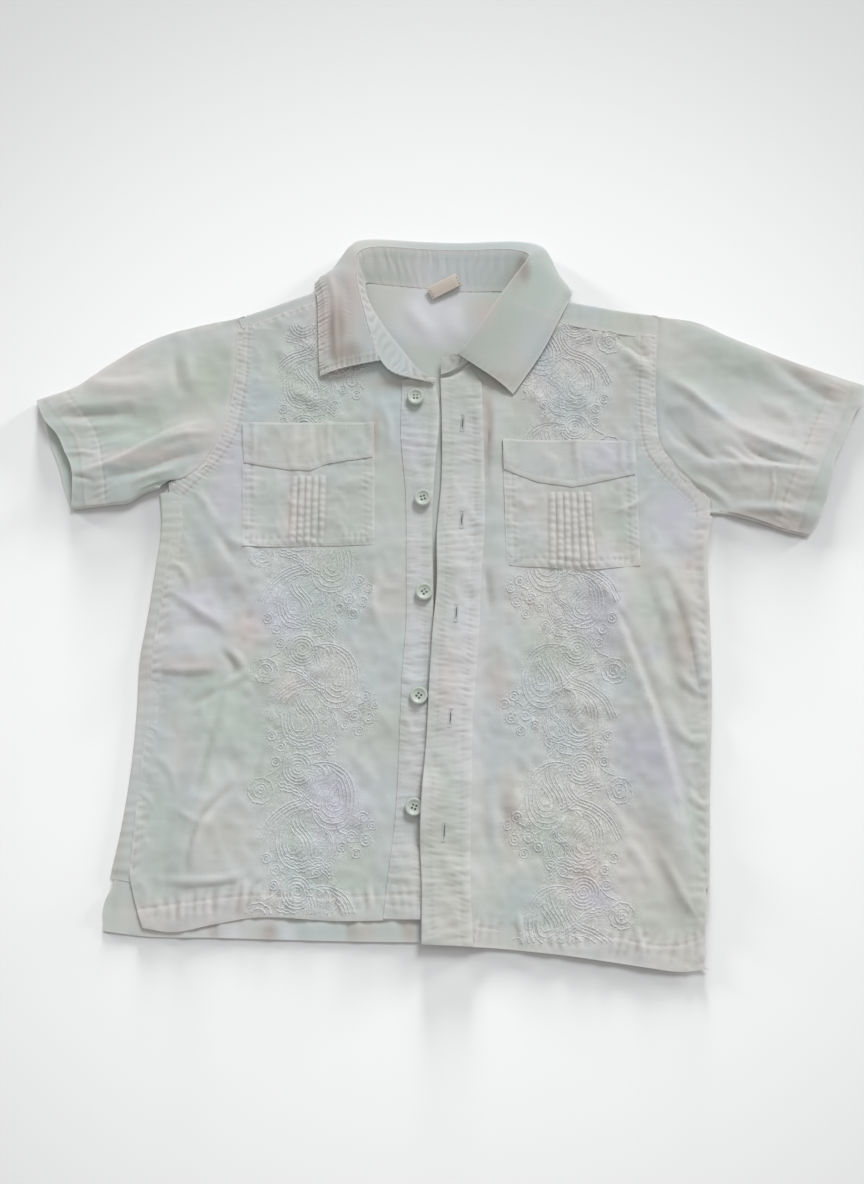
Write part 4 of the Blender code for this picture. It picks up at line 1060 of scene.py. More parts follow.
@dataclass(frozen=True)
class Thread:
    """Spun cotton thread, dyed in the same bath as the cloth it is sewn to: matt and slightly uneven."""

    name: str
    roughness: float = 0.8
    uneven: float = 0.06

    def make(self) -> Material:
        """The material."""
        material, tree = new_material(self.name, self.roughness, sheen_weight=0.15, sheen_roughness=0.5)
        noise = noise_over(tree, object_place(tree), Scale=500.0, Detail=1.0)
        shade = graded(tree, noise, (0.3, 0.7), 1.0, self.uneven)
        tree.links.new(dyed(tree, shade), tree.nodes[SHADER].inputs["Base Color"])
        return material


@dataclass(frozen=True)
class PearlPlastic:
    """Cast polyester button stock in pale sage: smooth and faintly clouded, with a soft gloss."""

    name: str = "pearl_button"
    dark: str = "#c2cbc1"
    light: str = "#d6dcd3"
    roughness: float = 0.4

    def make(self) -> Material:
        """The material."""
        material, tree = new_material(self.name, self.roughness, coat_weight=0.2, coat_roughness=0.2)
        noise = noise_over(tree, object_place(tree), Scale=260.0, Detail=3.0, Distortion=1.2)
        mix_colours(tree, noise, to_linear(self.dark), to_linear(self.light))
        return material


@dataclass(frozen=True)
class Floor:
    """A smooth painted board: palest in the middle, with painted shade greying it a little towards the corners.
    """

    name: str = "painted_board"
    middle: str = "#d8d8d8"
    # The grey at the corners is painted shade
    corner: str = "#b8b8b8"
    reach: float = 0.62

    def make(self) -> Material:
        """The material."""
        material, tree = new_material(self.name, 0.95, specular_ior_level=0.0)
        far = add_node(tree, "ShaderNodeVectorMath", {"operation": "LENGTH"}, {0: object_place(tree)})
        settings = {1: 0.2, 2: self.reach, "interpolation_type": "SMOOTHSTEP"}
        share = add_node(tree, "ShaderNodeMapRange", settings, {0: far.outputs["Value"]})
        mix_colours(tree, share.outputs[0], to_linear(self.middle), to_linear(self.corner))
        return material


def cut_cells(line: Array, cell: float) -> Mesh:
    """The flat face inside a closed line, cut into square cells.

    Args:
        line: the outline, counterclockwise.
        cell: the size of a cell.

    Returns:
        A flat mesh in table millimetres.
    """
    mesh = bmesh.new()
    mesh.faces.new([mesh.verts.new((x, y, 0.0)) for x, y in line])
    for axis, across in ((0, (1, 0, 0)), (1, (0, 1, 0))):
        beyond = mesh.faces[:]
        for k in range(math.floor(line[:, axis].min() / cell) + 1, math.ceil(line[:, axis].max() / cell)):
            at = k * cell
            verts = {vert for face in beyond for vert in face.verts}
            edges = {edge for face in beyond for edge in face.edges}
            made = bmesh.ops.bisect_plane(mesh, geom=[*verts, *edges, *beyond], dist=CUT_NEAR,
                                          plane_co=tuple(at * value for value in across), plane_no=across)
            beyond = [item for item in made["geom"] if isinstance(item, bmesh.types.BMFace)
                      and item.calc_center_median()[axis] > at]
    bmesh.ops.remove_doubles(mesh, verts=mesh.verts, dist=JOIN_NEAR)
    return mesh


def places_of(mesh: Mesh) -> Array:
    """Where the points of a mesh are, one row for each."""
    return np.array([vert.co[:] for vert in mesh.verts])


def move_to(mesh: Mesh, places: Array) -> None:
    """Puts the points of a mesh where rows say."""
    for vert, place in zip(mesh.verts, places):
        vert.co = place


def refine(mesh: Mesh, lines: Sequence[Array], reach: float) -> None:
    """Halves the cells near some lines, where the cloth puckers."""
    places = places_of(mesh)[:, :2]
    near = np.zeros(len(places), dtype=bool)
    for line in lines:
        trace = Trace(smooth_line(line, 6.0))
        close = trace.near(places, reach)
        distance = np.abs(trace.measure(places[close])[0])
        near[np.flatnonzero(close)[distance < reach]] = True
    chosen = {vert for vert, close in zip(mesh.verts, near) if close}
    edges = [edge for edge in mesh.edges if edge.verts[0] in chosen and edge.verts[1] in chosen]
    bmesh.ops.subdivide_edges(mesh, edges=edges, cuts=1, use_grid_fill=True)


def turn_over(mesh: Mesh, stretch: Points | Array, ground: Ground, reach: float) -> None:
    """Carries the cloth's edge along a stretch round a fold and on over the layer it meets.

    Args:
        mesh: the laid cloth.
        stretch: the silhouette's stretch, with the outside on its right.
        ground: the layer that the cloth turns to.
        reach: how far it goes on over that layer.
    """
    line = smooth_line(moved(stretch, -FOLD_RADIUS))
    trace = Trace(line)
    edges = [edge for edge in mesh.edges if edge.is_boundary]
    flat = np.array([vert.co.xy[:] for edge in edges for vert in edge.verts])
    on_line = np.abs(trace.measure(flat)[0]).reshape(-1, 2).max(axis=1) < ON_LINE
    edges = [edge for edge, chosen in zip(edges, on_line) if chosen]
    verts = list(dict.fromkeys(vert for edge in edges for vert in edge.verts))
    bases = np.array([vert.co[:] for vert in verts])
    along = trace.measure(bases[:, :2])[1]
    away = square_to(at_lengths(line, along + FOLD_EVENED) - at_lengths(line, along - FOLD_EVENED))
    row_of = {vert: row for row, vert in enumerate(verts)}
    shares = [k / FOLD_STEPS for k in range(1, FOLD_STEPS + 1)]
    steps = [(math.sin(math.pi * share) * FOLD_RADIUS, share) for share in shares]
    if reach > 0:
        count = max(2, round(reach / TURNED_CELL))
        steps += [(-reach * k / count, 1.0) for k in range(1, count + 1)]
    for out, turned in steps:
        spots = bases[:, :2] + away * out
        share = (1 - math.cos(math.pi * turned)) / 2
        high = bases[:, 2] * (1 - share) + ground.height(spots) * share
        made = bmesh.ops.extrude_edge_only(mesh, edges=edges)["geom"]
        new_rows = {}
        for vert in (item for item in made if isinstance(item, bmesh.types.BMVert)):
            before = next(edge.other_vert(vert) for edge in vert.link_edges if edge.other_vert(vert) in row_of)
            row = row_of[before]
            vert.co = (spots[row, 0], spots[row, 1], high[row])
            new_rows[vert] = row
        edges = [item for item in made if isinstance(item, bmesh.types.BMEdge)
                 and all(vert in new_rows for vert in item.verts)]
        row_of = new_rows


def woven_grid(points: Array) -> Mesh:
    """An open sheet of cells whose points are given, rows across and columns along."""
    across, along = points.shape[0] - 1, points.shape[1] - 1
    mesh = bmesh.new()
    bmesh.ops.create_grid(mesh, x_segments=across, y_segments=along, size=1.0)
    for vert in mesh.verts:
        vert.co = points[round((vert.co.x + 1) / 2 * across), round((vert.co.y + 1) / 2 * along)]
    return mesh


def shift() -> Vector:
    """How far the frame's origin lies from the table's, in millimetres."""
    low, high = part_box("button_1")
    return Vector((TOP_BUTTON[0] - (low.x + high.x) / 2 / MM, TOP_BUTTON[1] - (low.y + high.y) / 2 / MM, 0.0))


def as_object(name: str, mesh: Mesh, material: Material,
              replaced: Sequence[str] = ()) -> Piece:
    """Turns a mesh in table millimetres into a piece of the shirt, in the frame's metres.

    Args:
        name: the piece's name.
        mesh: its mesh, which is freed.
        material: its finish.
        replaced: the nodes that it stands for.

    Returns:
        The piece.
    """
    bmesh.ops.translate(mesh, vec=-shift(), verts=mesh.verts)
    bmesh.ops.scale(mesh, vec=(MM, MM, MM), verts=mesh.verts)
    data = bpy.data.meshes.new(name)
    mesh.to_mesh(data)
    mesh.free()
    data.materials.append(material)
    piece = bpy.data.objects.new(name, data)
    bpy.context.scene.collection.objects.link(piece)
    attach(piece, ROOT)
    if replaced:
        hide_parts(*replaced)
    return piece


def apply_modifiers(piece: Piece) -> None:
    """Keeps what a piece's modifiers make of its mesh, and takes them off."""
    graph = bpy.context.evaluated_depsgraph_get()
    data = bpy.data.meshes.new_from_object(piece.evaluated_get(graph), preserve_all_data_layers=True,
                                           depsgraph=graph)
    old = piece.data
    piece.modifiers.clear()
    piece.data = data
    data.name = piece.name
    bpy.data.meshes.remove(old)


def smooth_shading(piece: Piece, angle: float = 50.0) -> None:
    """Shades a piece smoothly, with a sharp edge where it bends by more than an angle in degrees."""
    piece.data.polygons.foreach_set("use_smooth", [True] * len(piece.data.polygons))
    piece.data.set_sharp_from_angle(angle=math.radians(angle))


def set_dye_and_painted_shading(piece: Piece, colour: Array) -> None:
    """Keeps a linear colour for each vertex of a piece, painted shade and painted light included, which its
    material reads.
    """
    layer = piece.data.attributes.new("dye_and_painted_shading", "FLOAT_COLOR", "POINT")
    layer.data.foreach_set("color", np.column_stack([colour, np.ones(len(colour))]).ravel())


def vertex_values(data: bpy.types.Mesh, kind: str) -> Array:
    """The places or the normals of a mesh's vertices, one row for each."""
    values = np.zeros(len(data.vertices) * 3)
    data.vertices.foreach_get(kind, values)
    return values.reshape(-1, 3)


def table_places(piece: Piece) -> Array:
    """Where each vertex of a piece lies on the table, in millimetres."""
    return vertex_values(piece.data, "co")[:, :2] / MM + np.array(shift()[:2])


def rest_on_table(piece: Piece) -> None:
    """Lifts what would sink into the table up to its surface."""
    places = vertex_values(piece.data, "co")
    places[:, 2] = np.maximum(places[:, 2], TABLE_GAP * MM)
    piece.data.vertices.foreach_set("co", places.ravel())
    piece.data.update()


def hollowness(data: bpy.types.Mesh, rounds: int = 2) -> Array:
    """How hollow a mesh is at each vertex.

    Args:
        data: the mesh, in metres.
        rounds: how often the values are evened out with their neighbours'.

    Returns:
        The bend at each vertex for each millimetre, above 0 in hollows and below 0 on ridges.
    """
    count = len(data.vertices)
    places, normals = vertex_values(data, "co") / MM, vertex_values(data, "normal")
    ends = np.zeros(len(data.edges) * 2, dtype=np.int32)
    data.edges.foreach_get("vertices", ends)
    first, second = np.append(ends[::2], ends[1::2]), np.append(ends[1::2], ends[::2])
    degree = np.maximum(np.bincount(first, minlength=count), 1)
    gap = places[second] - places[first]
    bend = np.bincount(first, np.sum(gap * normals[first], axis=1), count)
    bend *= 4 / np.maximum(np.bincount(first, np.sum(gap * gap, axis=1), count), 1e-6)
    for _ in range(rounds):
        bend = 0.4 * bend + 0.6 * np.bincount(first, bend[second], count) / degree
    return bend


@dataclass
class Cut:
    """The cut of a piece of cloth: its width and length in millimetres, how it is held and on what."""

    width: float
    length: float
    held: str = "laid"
    rests_on: tuple[str, ...] = ()


@dataclass
class ClothPiece:
    """A piece of cloth: a sheet given its thickness, its colour, with painted shade and painted light, and its
    finish.
    """

    name: str
    cut: Cut
    finish: Material
    slot: str = "linen"
    thickness: float = CLOTH
    replaced: tuple[str, ...] = ()
    tint: Tint | None = None

    def make(self, mesh: Mesh, with_pieces: Sequence[Piece] = ()) -> Piece:
        """The finished piece.

        Args:
            mesh: the middle of its cloth, in table millimetres, faces up or outwards.
            with_pieces: what is sewn to it; not used.

        Returns:
            The piece.
        """
        area = sum(face.calc_area() for face in mesh.faces)
        piece = as_object(f"{self.name}_cloth", mesh, self.finish, self.replaced or (self.name,))
        wall = piece.modifiers.new("cloth", "SOLIDIFY")
        wall.thickness = self.thickness * MM
        wall.offset = 0.0
        apply_modifiers(piece)
        rest_on_table(piece)
        colour = dye_and_painted_shading(table_places(piece))
        if self.tint:
            colour[:] = to_linear(self.tint.value)
        # Painted shade makes the colour browner in the hollows, and painted highlight makes it paler on the
        # ridges
        bend = np.clip(hollowness(piece.data) / PAINTED_SHADE_BEND, -1.0, 1.0)
        colour = towards(colour, Tint.FAWN, np.maximum(bend, 0) * HOLLOW_PAINTED_SHADE, HOLLOW_PAINTED_SHADE_DARK)
        colour = towards(colour, Tint.ROSE, np.maximum(-bend, 0) * RIDGE_PAINTED_HIGHLIGHT, RIDGE_PAINTED_HIGHLIGHT_PALE)
        set_dye_and_painted_shading(piece, colour)
        smooth_shading(piece)
        return piece


def laid_cloth(line: Array, ground: Ground, cell: float, seams: Sequence[Seam] = (),
               dip: float = 0.45) -> Mesh:
    """Cloth cut to an outline and laid on its ground, with finer cells near its seams.

    Args:
        line: the outline, counterclockwise.
        ground: the form that it takes.
        cell: the size of its cells.
        seams: its seams, near which the cells are halved.
        dip: how far its edge is rounded down.

    Returns:
        The middle of the cloth.
    """
    mesh = cut_cells(line, cell)
    if seams:
        refine(mesh, [seam.points for seam in seams], PUCKERED)
    places = places_of(mesh)
    places[:, 2] = ground.height(places[:, :2]) + (EdgeDip(line, dip).height(places[:, :2]) if dip else 0.0)
    move_to(mesh, places)
    return mesh


@dataclass
class Back:
    """The back, which comes forward over both shoulders and round the right side."""

    finish: Material
    ground: Ground = field(default_factory=lambda: Ground(Level.BACK, 0.0, [
        Seam(((-212, -192), (-145, -196), (30, -199), (150, -200)), 0.5, 11.0, 9, 14, 0.2, 0.2, 12.0),
        *all_of(Crease, (
            (((-30, 214), (-24, 198), (-10, 180)), 0.9, 8, 6, 0.2),
            (((6, 210), (2, 192), (8, 176)), 0.8, 7, 7, 0.2),
            (((-163, -216), (-162, -206), (-158, -182)), 0.5, 6, 4, 0.5),
            (((-138, -216), (-139, -206), (-142, -182)), 0.4, 4, 7, 0.5),
            (((-112, -216), (-111, -206), (-108, -182)), 0.5, 7, 3, 0.5),
            (((-86, -216), (-87, -206), (-88, -182)), 0.4, 4, 5, 0.5),
            (((-60, -216), (-58, -206), (-58, -182)), 0.5, 3, 7, 0.5),
            (((-36, -216), (-35, -206), (-36, -182)), 0.4, 5, 3, 0.5),
            (((-217, -212), (-214, -196), (-206, -168)), 0.8, 3, 2, 0.3),
        )),
        Rumple(0.12, 34.0, 21.0),
    ]))
    upper: Ground = field(default_factory=lambda: Ground(Level.UPPER, 0.0, [
        *MAIN_FOLDS, Crease(((-232, -178), (-208, -178), (-184, -178)), -0.9, 9, 9, 0.3)]))

    def line(self) -> Array:
        """Its outline, without what turns over."""
        inner_side = moved(LEFT_SIDE, -(FOLD_RADIUS + SEAM))[1:]
        return outline(BACK_HEM, [BACK_SIDE_FOOT, *inner_side], LEFT_ARMHOLE[1:],
                       moved(LEFT_SHOULDER, -FOLD_RADIUS), BACK_NECK, moved(RIGHT_SHOULDER, -FOLD_RADIUS),
                       RIGHT_ARMHOLE, moved(RIGHT_SIDE, -FOLD_RADIUS), RIGHT_VENT_BACK)

    def make(self) -> list[Piece]:
        """The back."""
        mesh = laid_cloth(self.line(), self.ground, BACK_CELL, dip=0.0)
        strip = self.upper.with_more(UNDER_EDGE, Rumple(0.25, 20.0, 22.0), Ripple(0.2, 7.0, 23.0, 0.0))
        turn_over(mesh, LEFT_SHOULDER, strip, LEFT_STRIP + 2.5)
        turn_over(mesh, RIGHT_SHOULDER, strip, RIGHT_STRIP + 2.5)
        turn_over(mesh, RIGHT_SIDE, self.upper.with_more(UNDER_EDGE, Ripple(0.62, 7.0, 24.0)), SIDE_STRIP + 8)
        cut = Cut(400, 460)
        return [ClothPiece("back_panel", cut, self.finish).make(mesh)]


def front_ground(level: Level, creases: Sequence[Feature], seams: Sequence[Seam], boxes: Sequence[Box],
                 seed: float) -> Ground:
    """A front's form: its folds, creases, seams and crumples, drawn up where it is embroidered."""
    drawn = [Drawn(SEWN_DRAWN, box, seed + 3 + k) for k, box in enumerate(boxes)]
    return Ground(level, 0.0, [*MAIN_FOLDS, *creases, *seams, Rumple(0.75, 36.0, seed + 1),
                               Rumple(0.46, 13.0, seed + 2), *drawn])


@dataclass
class RightFront:
    """The wearer's right front, which carries the button band."""

    finish: Material
    ground: Ground = field(default_factory=lambda: front_ground(Level.UPPER, RIGHT_CREASES, RIGHT_SEAMS,
                                                                RIGHT_SEWN, 30.0))

    def line(self) -> Array:
        """Its outline, a seam's gap inside its neighbours."""
        shoulder = moved(RIGHT_SHOULDER, -(FOLD_RADIUS + RIGHT_STRIP + SEAM))
        shoulder[-1] = RIGHT_SEAM_END
        return outline(RIGHT_FRONT_HEM, RIGHT_FRONT_EDGE, RIGHT_NECK, shoulder, RIGHT_ARMHOLE[1:],
                       RIGHT_SIDE_SEAM, RIGHT_VENT)

    def make(self) -> list[Piece]:
        """The front."""
        mesh = laid_cloth(self.line(), self.ground, FRONT_CELL, RIGHT_SEAMS, dip=0.3)
        cut = Cut(210, 430, rests_on=("back_panel",))
        return [ClothPiece("front_right", cut, self.finish).make(mesh)]


@dataclass
class LeftFront:
    """The wearer's left front, whose side turns down to meet the back."""

    finish: Material
    ground: Ground = field(default_factory=lambda: front_ground(Level.LEFT_FRONT, LEFT_CREASES, LEFT_SEAMS,
                                                                LEFT_SEWN, 40.0))

    def line(self) -> Array:
        """Its outline, without what turns down."""
        side = moved(LEFT_SIDE, -FOLD_RADIUS)
        shoulder = moved(LEFT_SHOULDER, -(FOLD_RADIUS + LEFT_STRIP + SEAM))
        shoulder[-1] = LEFT_NECK[0]
        return outline(LEFT_FRONT_HEM, side[:2], side[1:], LEFT_ARMHOLE[1:], shoulder, LEFT_NECK,
                       LEFT_FRONT_EDGE)

    def make(self) -> list[Piece]:
        """The front."""
        mesh = laid_cloth(self.line(), self.ground, FRONT_CELL, LEFT_SEAMS, dip=0.0)
        turn_over(mesh, LEFT_SIDE[1:], Ground(Level.BACK), 0.0)
        cut = Cut(210, 440, rests_on=("back_panel",))
        return [ClothPiece("front_left", cut, self.finish).make(mesh)]


@dataclass
class Placket:
    """A band sewn along a front's edge."""

    name: str
    line: Array
    ground: Ground
    finish: Material
    under: str

    def make(self) -> list[Piece]:
        """The band."""
        mesh = laid_cloth(self.line, self.ground, BAND_CELL)
        cut = Cut(36, 366, rests_on=(self.under,))
        return [ClothPiece(self.name, cut, self.finish, "band_linen").make(mesh)]


def button_band_line() -> Array:
    """Outline of the button band."""
    edge = moved(RIGHT_FRONT_EDGE, -SEAM)
    return outline([BUTTON_BAND_FOOT, edge[0]], edge, [edge[-1], *BUTTON_BAND_TOP], BUTTON_BAND_INNER)


def hole_band_line() -> Array:
    """Outline of the buttonhole band."""
    edge = moved(LEFT_FRONT_EDGE, -SEAM)
    return outline([edge[-1], HOLE_BAND_FOOT], HOLE_BAND_INNER, [*HOLE_BAND_TOP, edge[0]], edge)


BUTTON_BAND_SEAMS = (
    Seam(moved(BUTTON_BAND_INNER, -1.6), 0.3, 3.0, 8, 2, 0.15, 0.0, 83.0),
    Seam(moved(RIGHT_FRONT_EDGE, -6.0), 0.3, 3.0, 6, 6, 0.15, 0.0, 84.0),
)

HOLE_BAND_SEAMS = (
    Seam(moved(HOLE_BAND_INNER, -6.0), 0.32, 3.2, 7, 6, 0.15, 0.0, 85.0),
    Seam(moved(LEFT_FRONT_EDGE, -6.5), 0.32, 3.2, 7, 6.5, 0.15, 0.0, 86.0),
)


@dataclass
class Pocket:
    """A chest pocket with pin tucks and a pointed flap over it."""

    side: str
    pocket: Points
    flap: Points
    tucks: Tucks
    ground: Ground
    finish: Material
    flap_folds: tuple[Feature, ...]

    def pocket_seams(self) -> list[Seam]:
        """The rows that hold the pocket's sides and foot."""
        sides = corners(self.pocket, 2.0)
        top = max(place[1] for place in self.pocket) - 2
        rows = [row[row[:, 1] < top] for row in (moved(closed(sides), -1.6), moved(closed(sides), -6.0))]
        return [Seam(rows[0], 0.28, 4.6, 5, 2, 0.25, 0.0, 53.0), Seam(rows[1], 0.3, 4.6, 4, 5, 0.25, 0.0, 53.0)]

    def flap_seams(self) -> list[Seam]:
        """The rows along the flap's edge and its top."""
        foot = [place for place in self.flap if place[1] < max(spot[1] for spot in self.flap) - 8]
        top = [place for place in self.flap if place not in foot]
        low = moved(smooth_line([top[0], *foot, top[1]], 2.0), -5.5)
        high = ((top[0][0] + 1, top[0][1] - 2), (top[1][0] - 1, top[1][1] - 2))
        return [Seam(low, 0.34, 3.4, 4, 6, 0.25, 0.0, 54.0), Seam(high, 0.25, 4.0, 4, 3, 0.22, 0.0, 55.0)]

    def pocket_ground(self) -> Ground:
        """The pocket's form."""
        return self.ground.with_more(POCKET_RISE, self.tucks, *self.pocket_seams(), Rumple(0.45, 16.0, 51.0))

    def flap_ground(self) -> Ground:
        """The flap's form."""
        return self.ground.with_more(FLAP_RISE, *self.flap_seams(), *self.flap_folds, Rumple(0.45, 16.0, 51.0))

    def make(self) -> list[Piece]:
        """The pocket and its flap."""
        front = f"front_{self.side}"
        bag = laid_cloth(corners(self.pocket, 2.0), self.pocket_ground(), POCKET_CELL)
        flap = laid_cloth(corners(self.flap, 2.0), self.flap_ground(), FLAP_CELL)
        width, length = (108, 90) if self.side == "right" else (110, 92)
        return [
            ClothPiece(f"pocket_{self.side}", Cut(width, length, rests_on=(front,)), self.finish).make(bag),
            ClothPiece(f"pocket_flap_{self.side}", Cut(92, 36, rests_on=(f"pocket_{self.side}",)),
                       self.finish).make(flap),
        ]


@dataclass
class Sleeve:
    """A short sleeve: a flat tube with a lower layer on the table and a folded upper layer."""

    name: str
    armhole_at: Callable[[float], Array]
    cuff: Points
    cuff_back: Points
    top: Points
    under: Points
    features: tuple[Feature, ...]
    finish: Material
    # How far outside the armhole's line the tube ends, and how far inside it its upper layer is tucked
    open_out: float = 0.9
    tucked_in: float = 2.0
    across: int = 82
    along: int = 104
    loft: float = 2.5
    loft_share: float = 0.3
    under_shares: Span = (0.035, 0.02)
    round_share: float = 0.15
    read_share: float = 0.08
    reach_in: float = 2.2

    def ground(self) -> Ground:
        """The upper layer's form, without its loft."""
        return Ground(Level.UPPER, 0.0, [*MAIN_FOLDS, *self.features, Rumple(0.75, 34.0, 61.0),
                                         Rumple(0.34, 15.0, 62.0)])

    def patch(self, cuff: Array, down: Array, out: Array, tucked: bool = False) -> Array:
        """Places between the four edges, by their shares down the armhole and out along the sleeve."""
        armhole = smooth_line(self.armhole_at(-self.tucked_in if tucked else self.open_out))
        top, under = smooth_line(self.top), smooth_line(self.under)
        down_row, out_row = down[:, None], out[:, None]
        ends = share_of(armhole, down) * (1 - out_row) + share_of(cuff, down) * out_row
        sides = share_of(top, out) * (1 - down_row) + share_of(under, out) * down_row
        corner = ((armhole[0] * (1 - down_row) + armhole[-1] * down_row) * (1 - out_row)
                  + (cuff[0] * (1 - down_row) + cuff[-1] * down_row) * out_row)
        return ends + sides - corner

    def away(self, line: Points, out: Array, middle: Array) -> Array:
        """The direction square to a line at each share of it, away from a middle."""
        rows = smooth_line(line)
        square = square_to(share_of(rows, np.minimum(1.0, out + self.read_share))
                           - share_of(rows, np.maximum(0.0, out - self.read_share)))
        side = np.sign(np.sum(square * (share_of(rows, out) - middle), axis=1))
        return square * side[:, None]

    def points(self) -> Array:
        """The tube's points: round it from the top fold's lower side, and out along it."""
        out = np.linspace(0, 1, self.along + 1)
        cuff, cuff_back = smooth_line(self.cuff), smooth_line(self.cuff_back)
        radius = (FOLD_RADIUS * ramp(out, 0.0, self.round_share))[:, None]
        middle = self.patch(cuff, np.full(len(out), 0.5), out)
        down = np.linspace(0, 1, self.across + 1)
        edges = {}
        for share, line in ((0.0, self.top), (1.0, self.under)):
            away = self.away(line, out, middle)
            full = np.full(len(out), share)
            edges[share] = (self.patch(cuff_back, full, out) - away * radius,
                            self.patch(cuff, full, out) - away * radius, away)
        rows = []
        for share in down:
            full = np.full(len(out), share)
            flat = edges[share][0] if share in edges else self.patch(cuff_back, full, out)
            rows.append(np.column_stack([flat, np.full(len(out), BACK_LEVEL)]))
        turn = np.arange(1, FOLD_STEPS) / FOLD_STEPS
        rows += self.turned(edges[1.0], radius, turn)
        for share in down[::-1]:
            full = np.full(len(out), share)
            flat = edges[share][1] if share in edges else self.patch(cuff, full, out, True)
            high = self.ground().height(flat)
            if 0 < share < 1:
                high += self.loft * math.sin(math.pi * share) ** 0.5 * soft(ramp(out, 0.0, self.loft_share))
                high += UNDER_EDGE * ramp(out, *self.under_shares)
            rows.append(np.column_stack([flat, high]))
        rows += self.turned(edges[0.0], radius, 1 - turn)
        rows.append(rows[0])
        tube = np.array(rows)
        ahead = tube[:, 0] - tube[:, 1]
        high = tube[:, 0, 2] > BACK_LEVEL + 1.0
        tube[high, 0] += (self.reach_in * ahead / np.linalg.norm(ahead, axis=1)[:, None])[high]
        return tube

    def turned(self, edge: tuple[Array, Array, Array], radius: Array, turn: Array) -> list[Array]:
        """The rows of a fold between the two layers."""
        lower, upper, away = edge
        high = self.ground().height(upper)
        rows = []
        for share in turn:
            flat = lower * (1 - share) + upper * share + away * (radius * math.sin(math.pi * share))
            part = (1 - math.cos(math.pi * share)) / 2
            rows.append(np.column_stack([flat, BACK_LEVEL * (1 - part) + high * part]))
        return rows

    def make(self) -> list[Piece]:
        """The sleeve."""
        mesh = woven_grid(self.points())
        bmesh.ops.remove_doubles(mesh, verts=mesh.verts, dist=NEAR)
        bmesh.ops.recalc_face_normals(mesh, faces=mesh.faces)
        return [ClothPiece(self.name, Cut(270, 150), self.finish).make(mesh)]


def right_armhole(out: float) -> Array:
    """The armhole end of the right sleeve, from its top to its underarm, outside the armhole or tucked in."""
    return np.vstack([RIGHT_SLEEVE_TOP[0], moved(RIGHT_ARMHOLE, out)[1:-1], RIGHT_UNDERARM,
                      RIGHT_SLEEVE_UNDER[0]])


def left_armhole(out: float) -> Array:
    """The armhole end of the left sleeve, from its top to its underarm, outside the armhole or tucked in."""
    return np.vstack([LEFT_SLEEVE_TOP[0], moved(LEFT_ARMHOLE, out)[1:-1][::-1], LEFT_SLEEVE_UNDER[0]])


@dataclass(frozen=True)
class Section:
    """The collar cut across: neck seam, top of the stand, crest and turn of the leaf, its free edge."""

    neck: Place3
    top: Place3
    crest: Place3 | None = None
    turn: Place3 | None = None
    edge: Place3 | None = None


# From the wearer's right front round the back to the left front
STAND_RIGHT_END = (
    Section((-10, 151, 5.7), (-11, 148.5, 5.9)),
    Section((-22, 158, 5.6), (-24, 151, 6.4)),
    Section((-33, 172, 5.0), (-39, 155.5, 7.2)),
)
COLLAR = (
    Section((-40, 181, 5.2), (-47, 164, 7.6), (-62, 161, 7.4), (-75, 158, 6.6), (-88, 154, 5.8)),
    Section((-47, 191, 5.5), (-53.5, 180, 9), (-67, 180, 8.6), (-79, 180, 7.4), (-89.5, 179.5, 6.4)),
    Section((-55, 205, 5.9), (-60, 203, 11), (-72, 205, 10), (-82, 206, 8.8), (-90.5, 207, 7.2)),
    Section((-58.5, 216, 5.9), (-64, 220, 12), (-76, 225, 9.8), (-86, 224.5, 6.4), (-93, 220.5, 3.4)),
    Section((-58.8, 221, 4.4), (-64, 230, 11.6), (-74, 235, 8), (-82, 232, 2.4), (-88, 223, 0.6)),
    Section((-57, 223.9, 3.0), (-63, 241, 10.6), (-68, 248.5, 7), (-71, 243, 1.0), (-76, 214, 0.6)),
    Section((-44, 222.9, 2.5), (-50, 246.5, 8.6), (-55, 253.5, 5.6), (-54, 249.5, 0.9), (-53, 204, 0.6)),
    Section((-15, 220.2, 2.4), (-15, 245, 7.4), (-15, 251.5, 5.2), (-15, 247.5, 0.9), (-15, 203, 0.6)),
    Section((8, 218, 2.4), (10, 244.5, 7.4), (10, 251, 5.2), (10, 247, 0.9), (8, 202.5, 0.6)),
    Section((34, 218.1, 2.7), (40, 244.5, 8.8), (45, 251.5, 6.2), (46, 248, 0.9), (42, 203, 0.6)),
    Section((43.5, 217.5, 3.6), (53, 239, 12.5), (62, 247, 8), (66, 242, 1.2), (64, 205, 0.6)),
    Section((43.8, 213, 5.2), (51, 232, 14), (64, 237, 9.5), (74, 230, 3), (80, 217, 0.6)),
    Section((42.5, 208, 5.4), (46, 225, 14.8), (60, 227, 11), (73, 221, 6.8), (83.5, 214.5, 3.2)),
    Section((34.5, 198, 5.2), (30.5, 202.5, 15), (46, 204, 12.5), (62, 201, 9), (76, 198, 6.9)),
    Section((23.5, 182.5, 4.4), (18.5, 184.5, 13), (34, 182, 11), (49, 177, 8.4), (63, 172.5, 6.4)),
    Section((12, 168, 3.8), (9, 172, 10), (22, 166, 9), (36, 158.5, 7.2), (51, 154, 5.8)),
    Section((6.5, 163, 3.8), (4.5, 168.5, 8), (17, 160, 7.6), (30, 151, 6.6), (42, 141, 5.4)),
)
STAND_LEFT_END = (
    Section((0, 158, 4.0), (1.5, 169, 7.2)),
    Section((-6.5, 155.8, 4.2), (-5.5, 169.5, 6.6)),
)


def between(before: Array, start: Array, end: Array, after: Array, share: float) -> Array:
    """A point on the smooth line that passes four rows, a share of the way between the middle two."""
    rise = share * share * (3 - 2 * share)
    return (start * (1 - rise) + end * rise + (end - before) * 0.5 * share * (1 - share) ** 2
            - (after - start) * 0.5 * share * share * (1 - share))


